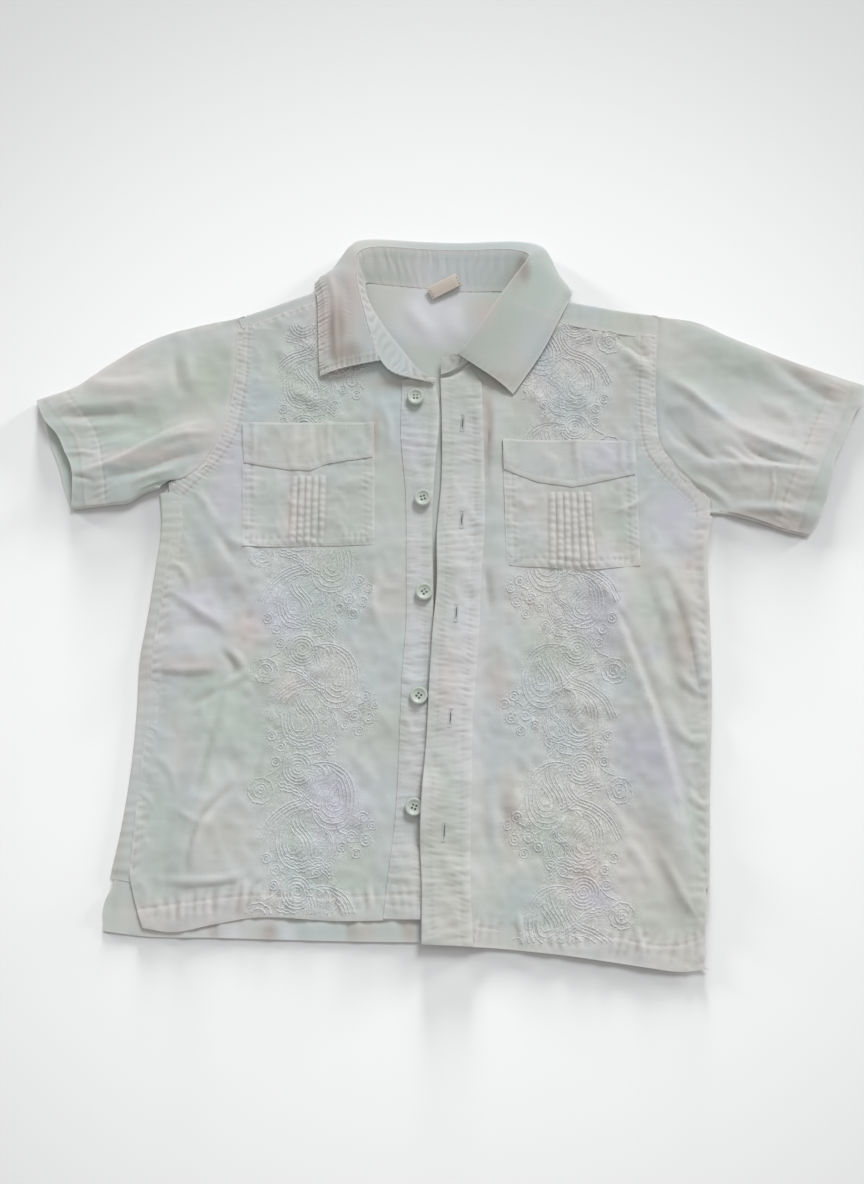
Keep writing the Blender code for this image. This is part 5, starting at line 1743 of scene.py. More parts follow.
def spaced(rows: Sequence[Sequence[Place3]], step: float) -> Array:
    """Lines through the same named point of each section, all with the same number of steps.

    Args:
        rows: the named points of each section.
        step: about how far apart the lines' points are at the first name.

    Returns:
        The points, by step and by name.
    """
    joined = np.array(rows, dtype=float)
    line = []
    for i in range(len(joined) - 1):
        count = max(1, round(float(np.linalg.norm(joined[i + 1, 0] - joined[i, 0])) / step))
        ends = joined[max(i - 1, 0)], joined[i], joined[i + 1], joined[min(i + 2, len(joined) - 1)]
        line += [between(*ends, k / count) for k in range(count)]
    return np.array([*line, joined[-1]])


def lengths_along(points: Array, axis: int) -> Array:
    """How far each point of a grid lies from the grid's first row, measured along an axis."""
    steps = np.linalg.norm(np.diff(points, axis=axis), axis=2)
    start = np.zeros((1, points.shape[1])) if axis == 0 else np.zeros((points.shape[0], 1))
    return np.concatenate([start, np.cumsum(steps, axis=axis)], axis=axis)


def outward(points: Array) -> Array:
    """The direction square to a grid of points at each of them."""
    along, across = np.gradient(points, axis=1), np.gradient(points, axis=0)
    square = np.cross(across, along)
    return square / np.maximum(np.linalg.norm(square, axis=2), 1e-9)[:, :, None]


@dataclass(frozen=True)
class Wave:
    """An uneven wave: its height, the pitch of its crests and its seed."""

    high: float
    pitch: float
    seed: float

    def at(self, along: Array) -> Array:
        """Its height at each length."""
        return self.high * uneven(along, self.pitch, self.seed)


@dataclass
class Collar:
    """The collar: a stand round the neck, and a leaf rolled under at the back and over at the left front."""

    finish: Material
    step: float = 0.8
    stand_across: int = 14
    leaf_across: int = 40
    rest: float = 1.5
    stand_foot: float = -0.05
    # Waves of the stand: its puckers, finer ones near its top and low ones at the neck seam
    puckers: Wave = Wave(0.42, 7.0, 71.0)
    fine: Wave = Wave(0.4, 3.9, 76.0)
    low: Wave = Wave(0.12, 3.9, 72.0)
    fine_fade: Span = (0.3, 0.9)
    low_fade: Span = (0.4, 0.0)
    # Waves of the leaf along its free edge, its front edge and its other end, and how each fades inwards
    hem: Wave = Wave(0.55, 2.9, 73.0)
    front: Wave = Wave(0.5, 3.1, 74.0)
    end: Wave = Wave(0.16, 5.0, 75.0)
    hem_fade: Span = (11.0, 4.0)
    front_fade: Span = (10.0, 3.0)
    end_fade: Span = (7.0, 1.0)
    # Height, middle and width of the row of stitches below the stand's top, and of the open leaf's valley
    row: Place3 = (-0.15, 0.84, 0.035)
    valley: Place3 = (-1.7, 13.0, 3.0)
    ridge: Span = (21.0, 4.5)
    # Where along the leaf it lies open
    opens: Span = (2.0, 16.0)
    closes: Span = (78.0, 52.0)
    # How deep the row of edge stitching sinks, and how far in from the leaf's edges it lies
    groove: float = -0.25
    row_in: float = 5.5

    def stand_points(self) -> Array:
        """The stand's middle, from the neck seam to its top."""
        rows = [(section.neck, section.top) for section in (*STAND_RIGHT_END, *COLLAR, *STAND_LEFT_END)]
        ends = spaced(rows, self.step)
        share = np.linspace(self.stand_foot, 1, self.stand_across + 1)[:, None, None]
        points = ends[None, :, 0] * (1 - share) + ends[None, :, 1] * share
        along, height = lengths_along(points, 1)[self.stand_across // 2][None], share[:, :, 0]
        slant = along + 0.9 * np.sin(height * 7 + along / 6)
        lift = self.puckers.at(slant) * np.sin(math.pi * np.clip(height, 0.1, 0.85))
        fine = self.fine.at(slant * 1.03) * soft(ramp(height, *self.fine_fade))
        lift = lift + fine * (0.5 + 0.5 * uneven(along, 26.0, 78.0))
        lift = lift + self.low.at(along) * soft(ramp(height, *self.low_fade))
        lift = lift + self.row[0] * swell(height, *self.row[1:])
        return points + outward(points) * lift[:, :, None]

    def leaf_points(self) -> Array:
        """The leaf's middle, from the stand's top to its free edge."""
        rows = [(section.top, section.crest, section.turn, section.edge) for section in COLLAR]
        sections = spaced(rows, self.step)
        lines = []
        for k in range(self.leaf_across + 1):
            step = k / self.leaf_across * 3
            i = min(2, int(step))
            named = [sections[:, j] for j in (max(i - 1, 0), i, i + 1, min(i + 2, 3))]
            lines.append(between(*named, step - i))
        points = np.array(lines)
        points[:, :, 2] = np.maximum(points[:, :, 2], BACK_LEVEL)
        across, along = lengths_along(points, 0), lengths_along(points, 1)
        from_edge, from_end = across[-1:] - across, along[:, -1:] - along
        points[:, :, 2] -= self.rest * soft(ramp(from_edge, 9.0, 0.0)) * soft(ramp(points[-1:, :, 2], 3.0, 5.4))
        hem = self.hem.at(along) * soft(ramp(from_edge, *self.hem_fade))
        front = self.front.at(from_edge) * soft(ramp(along, *self.front_fade))
        end = self.end.at(from_edge) * soft(ramp(from_end, *self.end_fade))
        soften = soft(ramp(points[:, :, 0], -20.0, -60.0)) * 0.85 + 0.15
        opened = soft(ramp(along, *self.closes)) * soft(ramp(along, *self.opens))
        valley = self.valley[0] * swell(from_edge, *self.valley[1:]) * opened
        slant = along[-1:] + 1.5 * np.sin(from_edge / 3)
        ridge = (0.93 + 0.07 * uneven(slant, 3.3, 77.0)) * swell(from_edge, *self.ridge)
        groove = self.groove * (swell(from_edge, self.row_in, SEAM_WIDE) + swell(along, self.row_in, SEAM_WIDE))
        lift = (hem + front) * soften + end + groove * soften + valley + ridge * opened
        return points + outward(points) * lift[:, :, None]

    def make(self) -> list[Piece]:
        """The stand and the leaf."""
        stand = woven_grid(self.stand_points())
        leaf = woven_grid(self.leaf_points())
        return [
            ClothPiece("collar_stand", Cut(330, 34, "folded", ("front_right", "back_panel", "front_left")),
                       self.finish, thickness=DOUBLE).make(stand),
            ClothPiece("collar_leaf", Cut(440, 60, "folded", ("collar_stand", "front_right", "front_left")),
                       self.finish, thickness=DOUBLE).make(leaf),
        ]


@dataclass
class Label:
    """The neck label: a blank tape folded in two, sewn across the neck seam."""

    finish: Material
    middle: Place = (-4.0, 218.5)
    length: float = 22.0
    depth: float = 8.0
    angle: float = math.radians(27.5)
    level: float = 4.2
    slope: float = 0.12
    tape: float = 0.9
    gap: float = 0.5
    # How far in each end is pressed flat, and by what share
    end_seam: float = 1.6
    pressed: float = 0.45
    fold_steps: int = 6
    puffed: float = 0.5
    thread: float = 0.22
    stitched_at: float = 0.46

    def spot(self, share: float, out: float) -> Array:
        """The place on the neck's slope at a share of the tape's length and a distance across it."""
        turn = np.array([math.cos(self.angle), math.sin(self.angle)])
        x, y = np.array(self.middle) + turn * share * self.length + np.array([-turn[1], turn[0]]) * out
        return np.array([x, y, self.level + self.slope * (y - self.middle[1] + self.depth)])

    def make(self) -> list[Piece]:
        """The label and the stitches at its ends."""
        radius = (self.tape + self.gap) / 2
        profile = [(-self.depth / 2, -radius), (0.0, -radius), (self.depth / 2, -radius)]
        turns = [math.pi * k / self.fold_steps for k in range(1, self.fold_steps)]
        profile += [(self.depth / 2 + radius * math.sin(turn), -radius * math.cos(turn)) for turn in turns]
        profile += [(self.depth * (0.5 - share), radius + self.puffed * math.sin(math.pi * share))
                    for share in np.linspace(0.0, 1.0, 9)]
        points = []
        for out, up in profile:
            row = []
            for share in np.linspace(-0.5, 0.5, 27):
                pinch = swell((0.5 - abs(share)) * self.length, 0.0, self.end_seam)
                row.append(self.spot(share, out) + (0, 0, up * (1 - self.pressed * pinch)))
            points.append(row)
        mesh = woven_grid(np.array(points))
        bmesh.ops.recalc_face_normals(mesh, faces=mesh.faces)
        cut = Cut(22, 18, "folded", ("collar_stand", "back_panel"))
        ends = Sewing("label_stitches", self.thread, self.finish, "label_tape", Tint.BROWN, 0.9)
        for share in (-self.stitched_at, self.stitched_at):
            line = [self.spot(share, out) for out in np.linspace(-self.depth / 2, self.depth / 2, 9)]
            ends.stitch(np.array(line) + (0, 0, self.tape + 0.35), 2.1, 1.5)
        return [ClothPiece("neck_label", cut, self.finish, "label_tape", self.tape, tint=Tint.TAPE).make(mesh),
                ends.make()]


@dataclass
class Buttons:
    """Five four-holed buttons, each turned with a rim and a shallow well and then drilled."""

    finish: Material
    radius: float = 5.7
    height: float = 2.4
    hole: float = 0.8
    hole_offset: float = 1.5
    sides: int = 40
    hole_sides: int = 14
    near: float = 0.001
    sharp: float = 35.0
    # How far each button is turned from the one above it
    turned_by: float = 0.3
    profile: tuple[Place, ...] = ((0.0, 0.58), (0.5, 0.6), (0.62, 0.72), (0.7, 0.92), (0.78, 1.0), (0.88, 0.99),
                                  (0.95, 0.86), (1.0, 0.6), (0.98, 0.34), (0.86, 0.08), (0.78, 0.0), (0.0, 0.0))

    def turned(self, middle: Vector) -> Mesh:
        """A button's solid before it is drilled, its foot at a middle."""
        mesh = bmesh.new()
        verts = [mesh.verts.new((out * self.radius, 0, up * self.height)) for out, up in self.profile]
        edges = [mesh.edges.new(pair) for pair in zip(verts, verts[1:])]
        bmesh.ops.spin(mesh, geom=[*verts, *edges], cent=(0, 0, 0), axis=(0, 0, 1), angle=math.tau,
                       steps=self.sides, use_merge=True)
        bmesh.ops.remove_doubles(mesh, verts=mesh.verts, dist=self.near)
        bmesh.ops.recalc_face_normals(mesh, faces=mesh.faces)
        bmesh.ops.translate(mesh, vec=middle, verts=mesh.verts)
        return mesh

    def drill(self, middle: Vector, turn: float) -> Mesh:
        """The cutter for its four holes."""
        mesh = bmesh.new()
        for k in range(4):
            angle = turn + math.pi / 4 + k * math.pi / 2
            made = bmesh.ops.create_cone(mesh, cap_ends=True, segments=self.hole_sides, radius1=self.hole,
                                         radius2=self.hole, depth=3 * self.height)
            away = Vector((math.cos(angle), math.sin(angle), 0)) * self.hole_offset
            bmesh.ops.translate(mesh, vec=middle + away, verts=made["verts"])
        return mesh

    def make(self) -> list[Piece]:
        """The five buttons."""
        made = []
        for k in range(5):
            low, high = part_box(f"button_{k + 1}")
            centre = Vector(((low.x + high.x) / 2 / MM, (low.y + high.y) / 2 / MM, low.z / MM)) + shift()
            button = as_object(f"button_{k + 1}_turned", self.turned(centre), self.finish,
                               (f"button_{k + 1}",))
            drill = as_object("drill", self.drill(centre, self.turned_by * k), self.finish)
            cut = button.modifiers.new("holes", "BOOLEAN")
            cut.operation = "DIFFERENCE"
            cut.solver = "EXACT"
            cut.object = drill
            apply_modifiers(button)
            bpy.data.objects.remove(drill)
            smooth_shading(button, self.sharp)
            made.append(button)
        return made


@dataclass
class Sewing:
    """Visible thread: runs of it are gathered and then made one piece."""

    name: str
    radius: float
    finish: Material
    slot: str = "linen"
    tint: Tint = Tint.THREAD
    paler: float = 0.3
    runs: list[tuple[Array, Array]] = field(default_factory=list)
    # Where a row starts, how finely it follows the cloth, and how thin and how sunk a stitch's ends are
    first: float = 0.6
    read_step: float = 0.65
    end_radius: float = 0.55
    end_sunk: float = 0.12
    sharp: float = 80.0

    def add(self, points: Array, radii: Array) -> None:
        """Gathers one run of thread: its points and how thick it is at each, as a share."""
        self.runs.append((points, radii))

    def stitch(self, line: Array, pitch: float = 2.6, length: float = 1.9) -> None:
        """Gathers a row of stitches along a line in space."""
        total = along_lengths(line)[-1]
        for start in np.arange(self.first, total - length, pitch):
            points = at_lengths(line, start + np.array([0.0, 0.25, 0.75, 1.0]) * length)
            points[[0, 3], 2] -= self.end_sunk
            self.add(points, np.array([self.end_radius, 1.0, 1.0, self.end_radius]))

    def stitch_on(self, line: Points | Array, ground: Ground, rise: float = CLOTH / 2) -> None:
        """Gathers a row of stitches that lies on a piece of cloth."""
        row = smooth_line(line)
        flat = at_lengths(row, np.arange(0, along_lengths(row)[-1], self.read_step))
        self.stitch(np.column_stack([flat, ground.height(flat) + rise]))

    def make(self) -> Piece:
        """The thread, as one piece."""
        curve = bpy.data.curves.new(self.name, "CURVE")
        curve.dimensions = "3D"
        curve.bevel_depth = self.radius
        curve.bevel_resolution = 0
        curve.use_fill_caps = True
        for points, radii in self.runs:
            spline = curve.splines.new("POLY")
            spline.points.add(len(points) - 1)
            spline.points.foreach_set("co", np.column_stack([points, np.ones(len(points))]).ravel())
            spline.points.foreach_set("radius", radii)
        drawn = bpy.data.objects.new(self.name, curve)
        bpy.context.scene.collection.objects.link(drawn)
        graph = bpy.context.evaluated_depsgraph_get()
        data = bpy.data.meshes.new_from_object(drawn.evaluated_get(graph))
        mesh = bmesh.new()
        mesh.from_mesh(data)
        bpy.data.objects.remove(drawn)
        bpy.data.meshes.remove(data)
        piece = as_object(self.name, mesh, self.finish)
        # The thread starts from the cloth's colour, painted shade and painted light included
        set_dye_and_painted_shading(piece, towards(dye_and_painted_shading(table_places(piece)), self.tint, self.paler))
        smooth_shading(piece, self.sharp)
        return piece


def ring(middle: Place, radius: float, turns: float = 1.0, start: float = 0.0, end_radius: float | None = None,
         count: int = 40) -> Array:
    """A ring, or a spiral where it ends at another radius."""
    share = np.linspace(0, 1, max(8, round(count * abs(turns))))
    reach = radius + ((radius if end_radius is None else end_radius) - radius) * share
    angle = math.radians(start) + share * turns * math.tau
    return np.column_stack([middle[0] + reach * np.cos(angle), middle[1] + reach * np.sin(angle)])


def wisps(places: Sequence[Place3], count: int, high: float, pitch: float, seed: float) -> list[Array]:
    """Wavy lines side by side, through places whose third value is how far apart the lines are there."""
    made = []
    for k in range(count):
        line = smooth_line([(x, y + gap * k) for x, y, gap in places], 0.8)
        line[:, 1] += high * uneven(line[:, 0], pitch, seed + k)
        made.append(line)
    return made


def spun(x: Array, y: Array, angle: Array | float) -> tuple[Array, Array]:
    """Places turned about the origin, all by one angle or each by its own."""
    return x * np.cos(angle) - y * np.sin(angle), x * np.sin(angle) + y * np.cos(angle)


@dataclass(frozen=True)
class Drop:
    """A curled drop of nested outlines, wavy as hand-guided stitching is."""

    middle: Place
    width: float
    height: float
    turn: float
    curl: float
    count: int
    seed: float
    fullness: float = 1.4
    step: float = 0.19
    points: int = 90
    # How its outlines waver: how far, over what length and at what pitch
    waver: float = 0.5
    length: float = 60.0
    pitch: float = 4.2

    def lines(self) -> list[Array]:
        """Its outlines, the outer one first."""
        made = []
        for k in range(self.count):
            scale = 1 - self.step * k
            share = np.linspace(0, math.tau, self.points)
            x = np.sin(share) * np.sin(share / 2) ** self.fullness * self.width * 0.62 * scale
            y = np.cos(share) * self.height / 2 * scale - self.height * 0.10 * (1 - scale)
            bend = math.radians(self.curl) * np.clip((y / self.height + 0.15), 0, 1) ** 2 * 2.4
            x, y = spun(x, y, bend)
            along = np.linspace(0, self.length, self.points) * scale
            wave = self.waver * uneven(along, self.pitch, self.seed + k) if k else 0.0
            x, y = spun(x + wave * np.cos(share), y + wave * np.sin(share), math.radians(self.turn))
            made.append(np.column_stack([self.middle[0] + x, self.middle[1] + y]))
        return made


@dataclass
class Embroidery:
    """A column of chain-stitched drops, hooks, roundels and ring curls, the same colour as the cloth."""

    side: str
    start: float
    outward: float
    ground: Ground
    areas: tuple[Box, ...]
    holes: tuple[Array, ...]
    edge: Array
    finish: Material
    repeats: int = 6
    repeat: float = 75.0
    first: float = -232.0
    sway: float = 4.0
    row_apart: float = 1.9
    # A chain is drawn in where each of its loops ends, and a stretch with fewer points is left out
    loop: int = 3
    drawn_in: float = 0.3
    least: int = 6
    paler: float = 0.4
    thread: float = 0.95
    step: float = 1.0
    rise: float = 0.02
    patch: float = 4.4
    full: float = 6.0

    def motif(self) -> list[Array]:
        """One repeat, out from the placket and up."""
        lines = Drop((25, 36), 29, 48, 14, -62, 5, 1.0).lines()
        lines += Drop((53, 8), 26, 40, -24, 58, 4, 2.0).lines()
        lines += Drop((33, 2), 16, 26, 38, -50, 3, 3.0).lines()
        stem = np.vstack([ring((50, 50), 8.5, 0.95, 200, 6.5)[::-1],
                          smooth_line(((42, 47), (40, 40), (45, 31), (56, 26), (66, 18), (72, 6)), 1.0)])
        lines += [moved(stem, k * self.row_apart) for k in (-1, 0, 1)]
        lines += [ring((50, 50), 5.0, 2.2, 60, 0.8)]
        lines += wisps(((30, 58, 2.3), (38, 64, 2.2), (48, 62, 2.2), (58, 66, 2.0)), 4, 0.6, 4.0, 4.0)
        roundel = ring((73, 36), 7.2, 1.0)
        scallop = np.linspace(0, math.tau, len(roundel))
        petals = 0.9 * np.abs(np.sin(scallop * 4.5))
        lines += [roundel + np.column_stack([petals * np.cos(scallop), petals * np.sin(scallop)])]
        lines += [ring((73, 36), 4.4, 1.0, 30), ring((73, 36), 2.6, 1.4, 90, 0.5)]
        lines += wisps(((36, 22, 2.3), (44, 27, 2.2), (50, 33, 2.0), (62, 37, 2.2)), 3, 0.7, 3.6, 14.0)
        curls = ((62, -12, 2.9), (68, -5, 2.8), (7, 6, 3.3), (3, 15, 2.8), (9, 20, 3.1), (16, 8, 3.4),
                 (13, -2, 2.9), (22, 2, 2.7), (38, 62, 3.0), (30, 66, 2.8), (64, 54, 2.7))
        for k, (x, y, radius) in enumerate(curls):
            lines += [ring((x, y), radius, 1.0, 40 * k), ring((x, y), radius * 0.55, 1.1, 70 * k, 0.6)]
        links = (((10, 16), (14, 14), (15, 11)), ((19, 9), (24, 12), (25, 15)), ((33, 64), (36, 60), (44, 58)),
                 ((60, 52), (64, 48), (70, 45)), ((30, 14), (36, 4), (40, -2), (47, -7)))
        lines += [smooth_line(link, 1.0) for link in links]
        return lines

    def kept(self, line: Array) -> list[Array]:
        """The stretches of a line that show: on the front, inside its areas and not under a pocket."""
        inside_area = np.zeros(len(line), dtype=bool)
        for low_x, high_x, low_y, high_y in self.areas:
            inside_area |= ((line[:, 0] > low_x) & (line[:, 0] < high_x) & (line[:, 1] > low_y)
                            & (line[:, 1] < high_y))
        inside_area &= inside(self.edge, line)
        for hole in self.holes:
            inside_area &= ~inside(hole, line)
        breaks = np.flatnonzero(np.diff(inside_area.astype(int))) + 1
        return [part for part, keep in zip(np.split(line, breaks), np.split(inside_area, breaks))
                if keep.all() and len(part) > self.least]

    def mark_front(self, lines: Sequence[Array]) -> None:
        """Notes on the front how densely it is stitched at each vertex, for its material."""
        front = bpy.data.objects[f"front_{self.side}_cloth"]
        points, places = np.vstack(lines), table_places(front)
        low = points.min(axis=0) - 3 * self.patch
        size = np.ceil((points.max(axis=0) + 3 * self.patch - low) / self.patch).astype(int)
        cell = ((points - low) / self.patch).astype(int)
        dense = np.bincount(cell[:, 0] * size[1] + cell[:, 1], minlength=size[0] * size[1])
        dense = dense.reshape(size).astype(float)
        for axis in (0, 1):
            dense = (np.roll(dense, 1, axis) + 2 * dense + np.roll(dense, -1, axis)) / 4
        spot = np.clip((places - low) / self.patch - 0.5, 0, size - 1.001)
        corner = spot.astype(int)
        share = spot - corner
        value = sum(dense[corner[:, 0] + i, corner[:, 1] + j] * np.where(i, share[:, 0], 1 - share[:, 0])
                    * np.where(j, share[:, 1], 1 - share[:, 1]) for i in (0, 1) for j in (0, 1))
        within = np.all((places > low) & (places < low + size * self.patch), axis=1)
        layer = front.data.attributes.new("stitched", "FLOAT", "POINT")
        layer.data.foreach_set("value", np.clip(value / self.full, 0, 1) * within)

    def make(self) -> list[Piece]:
        """The embroidery, as one piece."""
        sewing = Sewing(f"embroidery_{self.side}", self.thread, self.finish, paler=self.paler)
        lines = []
        for k in range(self.repeats):
            sway = self.sway * (2 * float(chance(np.array(float(k)), 3.0)) - 1)
            for line in self.motif():
                place = np.column_stack([self.start + self.outward * (line[:, 0] + sway),
                                         self.first + k * self.repeat + line[:, 1]])
                even = at_lengths(place, np.arange(0, along_lengths(place)[-1], self.step))
                lines += self.kept(even)
        self.mark_front(lines)
        heights = self.ground.height(np.vstack(lines)) + self.rise
        first = 0
        for line in lines:
            ends = np.arange(len(line)) % self.loop == self.loop - 1
            sewing.add(np.column_stack([line, heights[first:first + len(line)]]), 1 - self.drawn_in * ends)
            first += len(line)
        return [sewing.make()]


@dataclass
class Buttonholes:
    """Buttonholes: a slit between two satin-stitched bars, closed at both ends; the slit is a dark lens of
    painted shade.
    """

    ground: Ground
    thread: Material
    dark: Material
    length: float = 9.6
    gap: float = 0.36
    bar: float = 1.0
    pitch: float = 0.42
    lean: float = 0.07
    end_bar: float = 1.7

    def over_cloth(self, across: Array, up: float, rise: float) -> Array:
        """Three places across the band, on its cloth, the middle one higher by a rise."""
        flat = np.column_stack([across, np.full(3, up)])
        return np.column_stack([flat, self.ground.height(flat) + CLOTH / 2 + np.array([0.0, rise, 0.0])])

    def make(self) -> list[Piece]:
        """The bars and the slits."""
        bars = Sewing("buttonhole_bars", 0.24, self.thread, "band_linen")
        # Each slit is a dark lens of painted shade where the hole opens
        slits = Sewing("buttonhole_slits_painted_shade", 0.34, self.dark, "band_linen")
        for x, y in BUTTONHOLES:
            for k in range(-1, round(self.length / self.pitch) + 2):
                up = y + (k * self.pitch - self.length / 2)
                middle = x + self.lean * (up - y)
                for side in (-1, 1):
                    outs = side * (self.gap + self.bar * np.array([0.0, 0.5, 1.0]))
                    bars.add(self.over_cloth(middle + outs, up, 0.18), np.array([0.8, 1.0, 0.8]))
            for end in (-1, 1):
                for k in range(3):
                    up = y + end * (self.length / 2 + 0.5 + 0.4 * k)
                    outs = x + self.lean * (up - y) + self.end_bar * np.array([-1, 0, 1])
                    bars.add(self.over_cloth(outs, up, 0.25), np.array([0.8, 1.1, 0.8]))
            ups = np.linspace(-0.46, 0.46, 9) * self.length
            slit = np.column_stack([x + self.lean * ups, y + ups])
            slits.add(np.column_stack([slit, self.ground.height(slit) + CLOTH / 2 - 0.1]),
                      0.25 + 0.9 * np.cos(ups / self.length * math.pi) ** 0.7)
        return [bars.make(), slits.make()]


@dataclass(frozen=True)
class SlitShade:
    """The inside of a buttonhole: raw linen edges in deep shade, so almost without light."""

    name: str = "buttonhole_inside_painted_shade"
    colour: str = "#4d5452"

    def make(self) -> Material:
        """The material."""
        material, tree = new_material(self.name, 0.95, specular_ior_level=0.1)
        noise = noise_over(tree, object_place(tree), Scale=900.0)
        mix_colours(tree, noise, *(scaled(self.colour, factor) for factor in (0.7, 1.3)))
        return material


@dataclass
class Studio:
    """A pale painted board, a window-like light from the collar's side, a soft fill and the camera."""

    camera: Place3 = (-12.5, -140.6, 689.6)
    tilt: float = math.radians(12)
    lens: float = 33.0
    film: float = 36.0
    board_size: float = 3.0

    # Strength, azimuth, elevation and softness, the last three in degrees
    window: tuple[float, ...] = (1.95, 70, 35, 20)
    window_colour: str = "#f8fbff"
    board_lights: tuple[tuple[float, ...], ...] = ((4.2, 35, 6, 9), (8.6, 90, 6, 9), (4.2, 145, 6, 9))
    board_light_colour: str = "#ffffff"
    fill: float = 0.47
    fill_colour: str = "#fdfcfb"

    def light(self, name: str, strength: float, azimuth: float, elevation: float, softness: float,
              colour: str) -> Piece:
        """Adds an even light from far off, as a large window gives.

        Args:
            name: its name.
            strength: its strength.
            azimuth: where it stands, in degrees from +X towards +Y.
            elevation: how high it stands, in degrees.
            softness: how wide it is, in degrees.
            colour: its colour.

        Returns:
            The light.
        """
        lamp = bpy.data.lights.new(name, "SUN")
        lamp.energy = strength
        lamp.angle = math.radians(softness)
        lamp.color = to_linear(colour)
        item = bpy.data.objects.new(name, lamp)
        around, up = math.radians(azimuth), math.radians(elevation)
        place = Vector((math.cos(around) * math.cos(up), math.sin(around) * math.cos(up), math.sin(up)))
        item.location = place * 2
        item.rotation_euler = (-place).to_track_quat("-Z", "Y").to_euler()
        bpy.context.scene.collection.objects.link(item)
        return item

    def make(self) -> None:
        """The board, the lights and the camera."""
        mesh = bmesh.new()
        bmesh.ops.create_grid(mesh, x_segments=8, y_segments=8, size=self.board_size)
        data = bpy.data.meshes.new("board")
        mesh.to_mesh(data)
        mesh.free()
        data.materials.append(Floor().make())
        board = bpy.data.objects.new("board", data)
        bpy.context.scene.collection.objects.link(board)
        self.light("window", *self.window, self.window_colour)
        only_board = bpy.data.collections.new("board_only")
        only_board.objects.link(board)
        for low in self.board_lights:
            lamp = self.light(f"board_light_{low[1]}", *low, self.board_light_colour)
            lamp.light_linking.receiver_collection = only_board
        world = bpy.data.worlds.new("studio")
        world.use_nodes = True
        world.node_tree.nodes["Background"].inputs[0].default_value = (*to_linear(self.fill_colour), 1)
        world.node_tree.nodes["Background"].inputs[1].default_value = self.fill
        scene = bpy.context.scene
        scene.world = world
        scene.view_settings.view_transform = "Standard"
        film = bpy.data.cameras.new("camera")
        film.lens = self.lens
        film.sensor_width = self.film
        camera = bpy.data.objects.new("camera", film)
        camera.location = (Vector(self.camera) - shift()) * MM
        camera.rotation_euler = (self.tilt, 0, 0)
        scene.collection.objects.link(camera)
        scene.camera = camera


@dataclass
class Stitches:
    """The machine stitching that shows: hems, seams, bands, pockets and flaps."""

    right: RightFront
    left: LeftFront
    right_band: Ground
    left_band: Ground
    pockets: tuple[Pocket, Pocket]
    finish: Material
    radius: float = 0.2

    def make(self) -> list[Piece]:
        """The stitches of each part of the shirt, one piece each."""
        right = Sewing("stitches_right", self.radius, self.finish)
        left = Sewing("stitches_left", self.radius, self.finish)
        for sewing, front, seams in ((right, self.right, RIGHT_SEAMS), (left, self.left, LEFT_SEAMS)):
            for seam in seams:
                if seam.stitched:
                    sewing.stitch_on(seam.points, front.ground)
            sewing.stitch_on(moved(smooth_line(seams[1].points), -2.0), front.ground)
        bands = Sewing("stitches_bands", self.radius, self.finish, "band_linen")
        for ground, seams in ((self.right_band, BUTTON_BAND_SEAMS), (self.left_band, HOLE_BAND_SEAMS)):
            for seam in seams:
                bands.stitch_on(seam.points, ground)
        pockets = Sewing("stitches_pockets", self.radius, self.finish)
        for pocket in self.pockets:
            for ground, seams in ((pocket.pocket_ground(), pocket.pocket_seams()),
                                  (pocket.flap_ground(), pocket.flap_seams())):
                for seam in seams:
                    pockets.stitch_on(seam.points, ground)
        return [sewing.make() for sewing in (right, left, bands, pockets)]


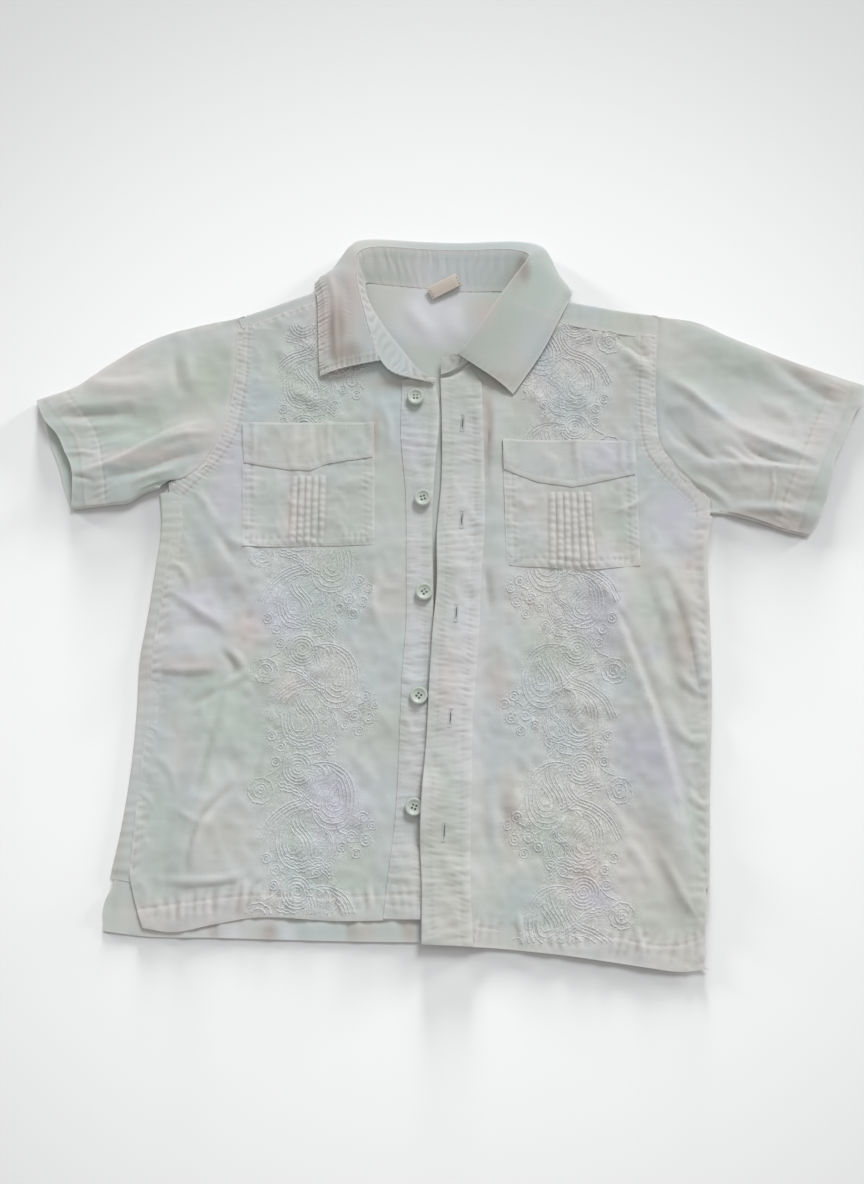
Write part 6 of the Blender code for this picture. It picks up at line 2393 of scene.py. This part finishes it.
@dataclass
class Shirt:
    """The whole shirt, from its back to its buttons."""

    linen: Material
    band: Material
    tape: Material
    pearl: Material
    thread: Material
    silk: Material
    slit: Material

    def parts(self) -> list:
        """The pieces in the order in which they lie on each other."""
        right, left = RightFront(self.linen), LeftFront(self.linen)
        right_line, left_line = button_band_line(), hole_band_line()
        right_band = right.ground.with_more(BAND_RISE, *BUTTON_BAND_SEAMS, Ripple(0.4, 7.0, 81.0, 84.0),
                                             Ripple(0.16, 3.4, 87.0, 96.0))
        left_band = left.ground.with_more(BAND_RISE, *HOLE_BAND_SEAMS, Ripple(0.36, 6.4, 82.0, 97.0),
                                           Ripple(0.16, 3.5, 88.0, 82.0))
        right_pocket = Pocket("right", RIGHT_POCKET, RIGHT_FLAP,
                              Tucks(5, 84.0, 35.6, -103.0, -84.5, -103.5, -85.0),
                              right.ground, self.linen, RIGHT_FLAP_FOLDS)
        left_pocket = Pocket("left", LEFT_POCKET, LEFT_FLAP, Tucks(6, 73.0, 20.5, 67.0, 90.0, 66.0, 92.0),
                             left.ground, self.linen, LEFT_FLAP_FOLDS)
        right_sleeve = Sleeve("sleeve_right", right_armhole, RIGHT_CUFF, RIGHT_CUFF_BACK, RIGHT_SLEEVE_TOP,
                              RIGHT_SLEEVE_UNDER, (*RIGHT_SLEEVE_CREASES, RIGHT_CUFF_SEAM), self.linen)
        left_sleeve = Sleeve("sleeve_left", left_armhole, LEFT_CUFF, LEFT_CUFF, LEFT_SLEEVE_TOP,
                             LEFT_SLEEVE_UNDER, (*LEFT_SLEEVE_CREASES, LEFT_CUFF_SEAM), self.linen)
        stitches = Stitches(right, left, right_band, left_band, (right_pocket, left_pocket), self.thread)
        return [
            Back(self.linen), right, left,
            Placket("placket_buttons", right_line, right_band, self.band, "front_right"),
            Placket("placket_buttonholes", left_line, left_band, self.band, "front_left"),
            right_pocket, left_pocket, right_sleeve, left_sleeve, Collar(self.linen), Label(self.tape),
            Buttons(self.pearl), stitches,
            Embroidery("right", -47.0, -1.0, right.ground, RIGHT_SEWN,
                       (corners(RIGHT_POCKET), corners(RIGHT_FLAP), right_line), right.line(), self.silk),
            Embroidery("left", 32.0, 1.0, left.ground, LEFT_SEWN,
                       (corners(LEFT_POCKET), corners(LEFT_FLAP), left_line), left.line(), self.silk),
            Buttonholes(left_band, self.thread, self.slit),
        ]

    def make(self) -> None:
        """Builds the pieces."""
        for part in self.parts():
            for piece in part.make():
                log.info("%s: %d faces", piece.name, len(piece.data.polygons))


def main() -> None:
    """Builds the shirt and its studio."""
    logging.basicConfig(level=logging.INFO, format="%(message)s")
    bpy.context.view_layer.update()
    linen = Linen().make()
    band = Linen("washed_linen_band", relief=BAND_RELIEF).make()
    tape = Linen("cotton_tape", relief=TAPE_RELIEF).make()
    Shirt(linen, band, tape, PearlPlastic().make(), Thread("sewing_thread").make(),
          Thread("chain_stitch_thread").make(), SlitShade().make()).make()
    Studio().make()


if __name__ == "__main__":
    main()
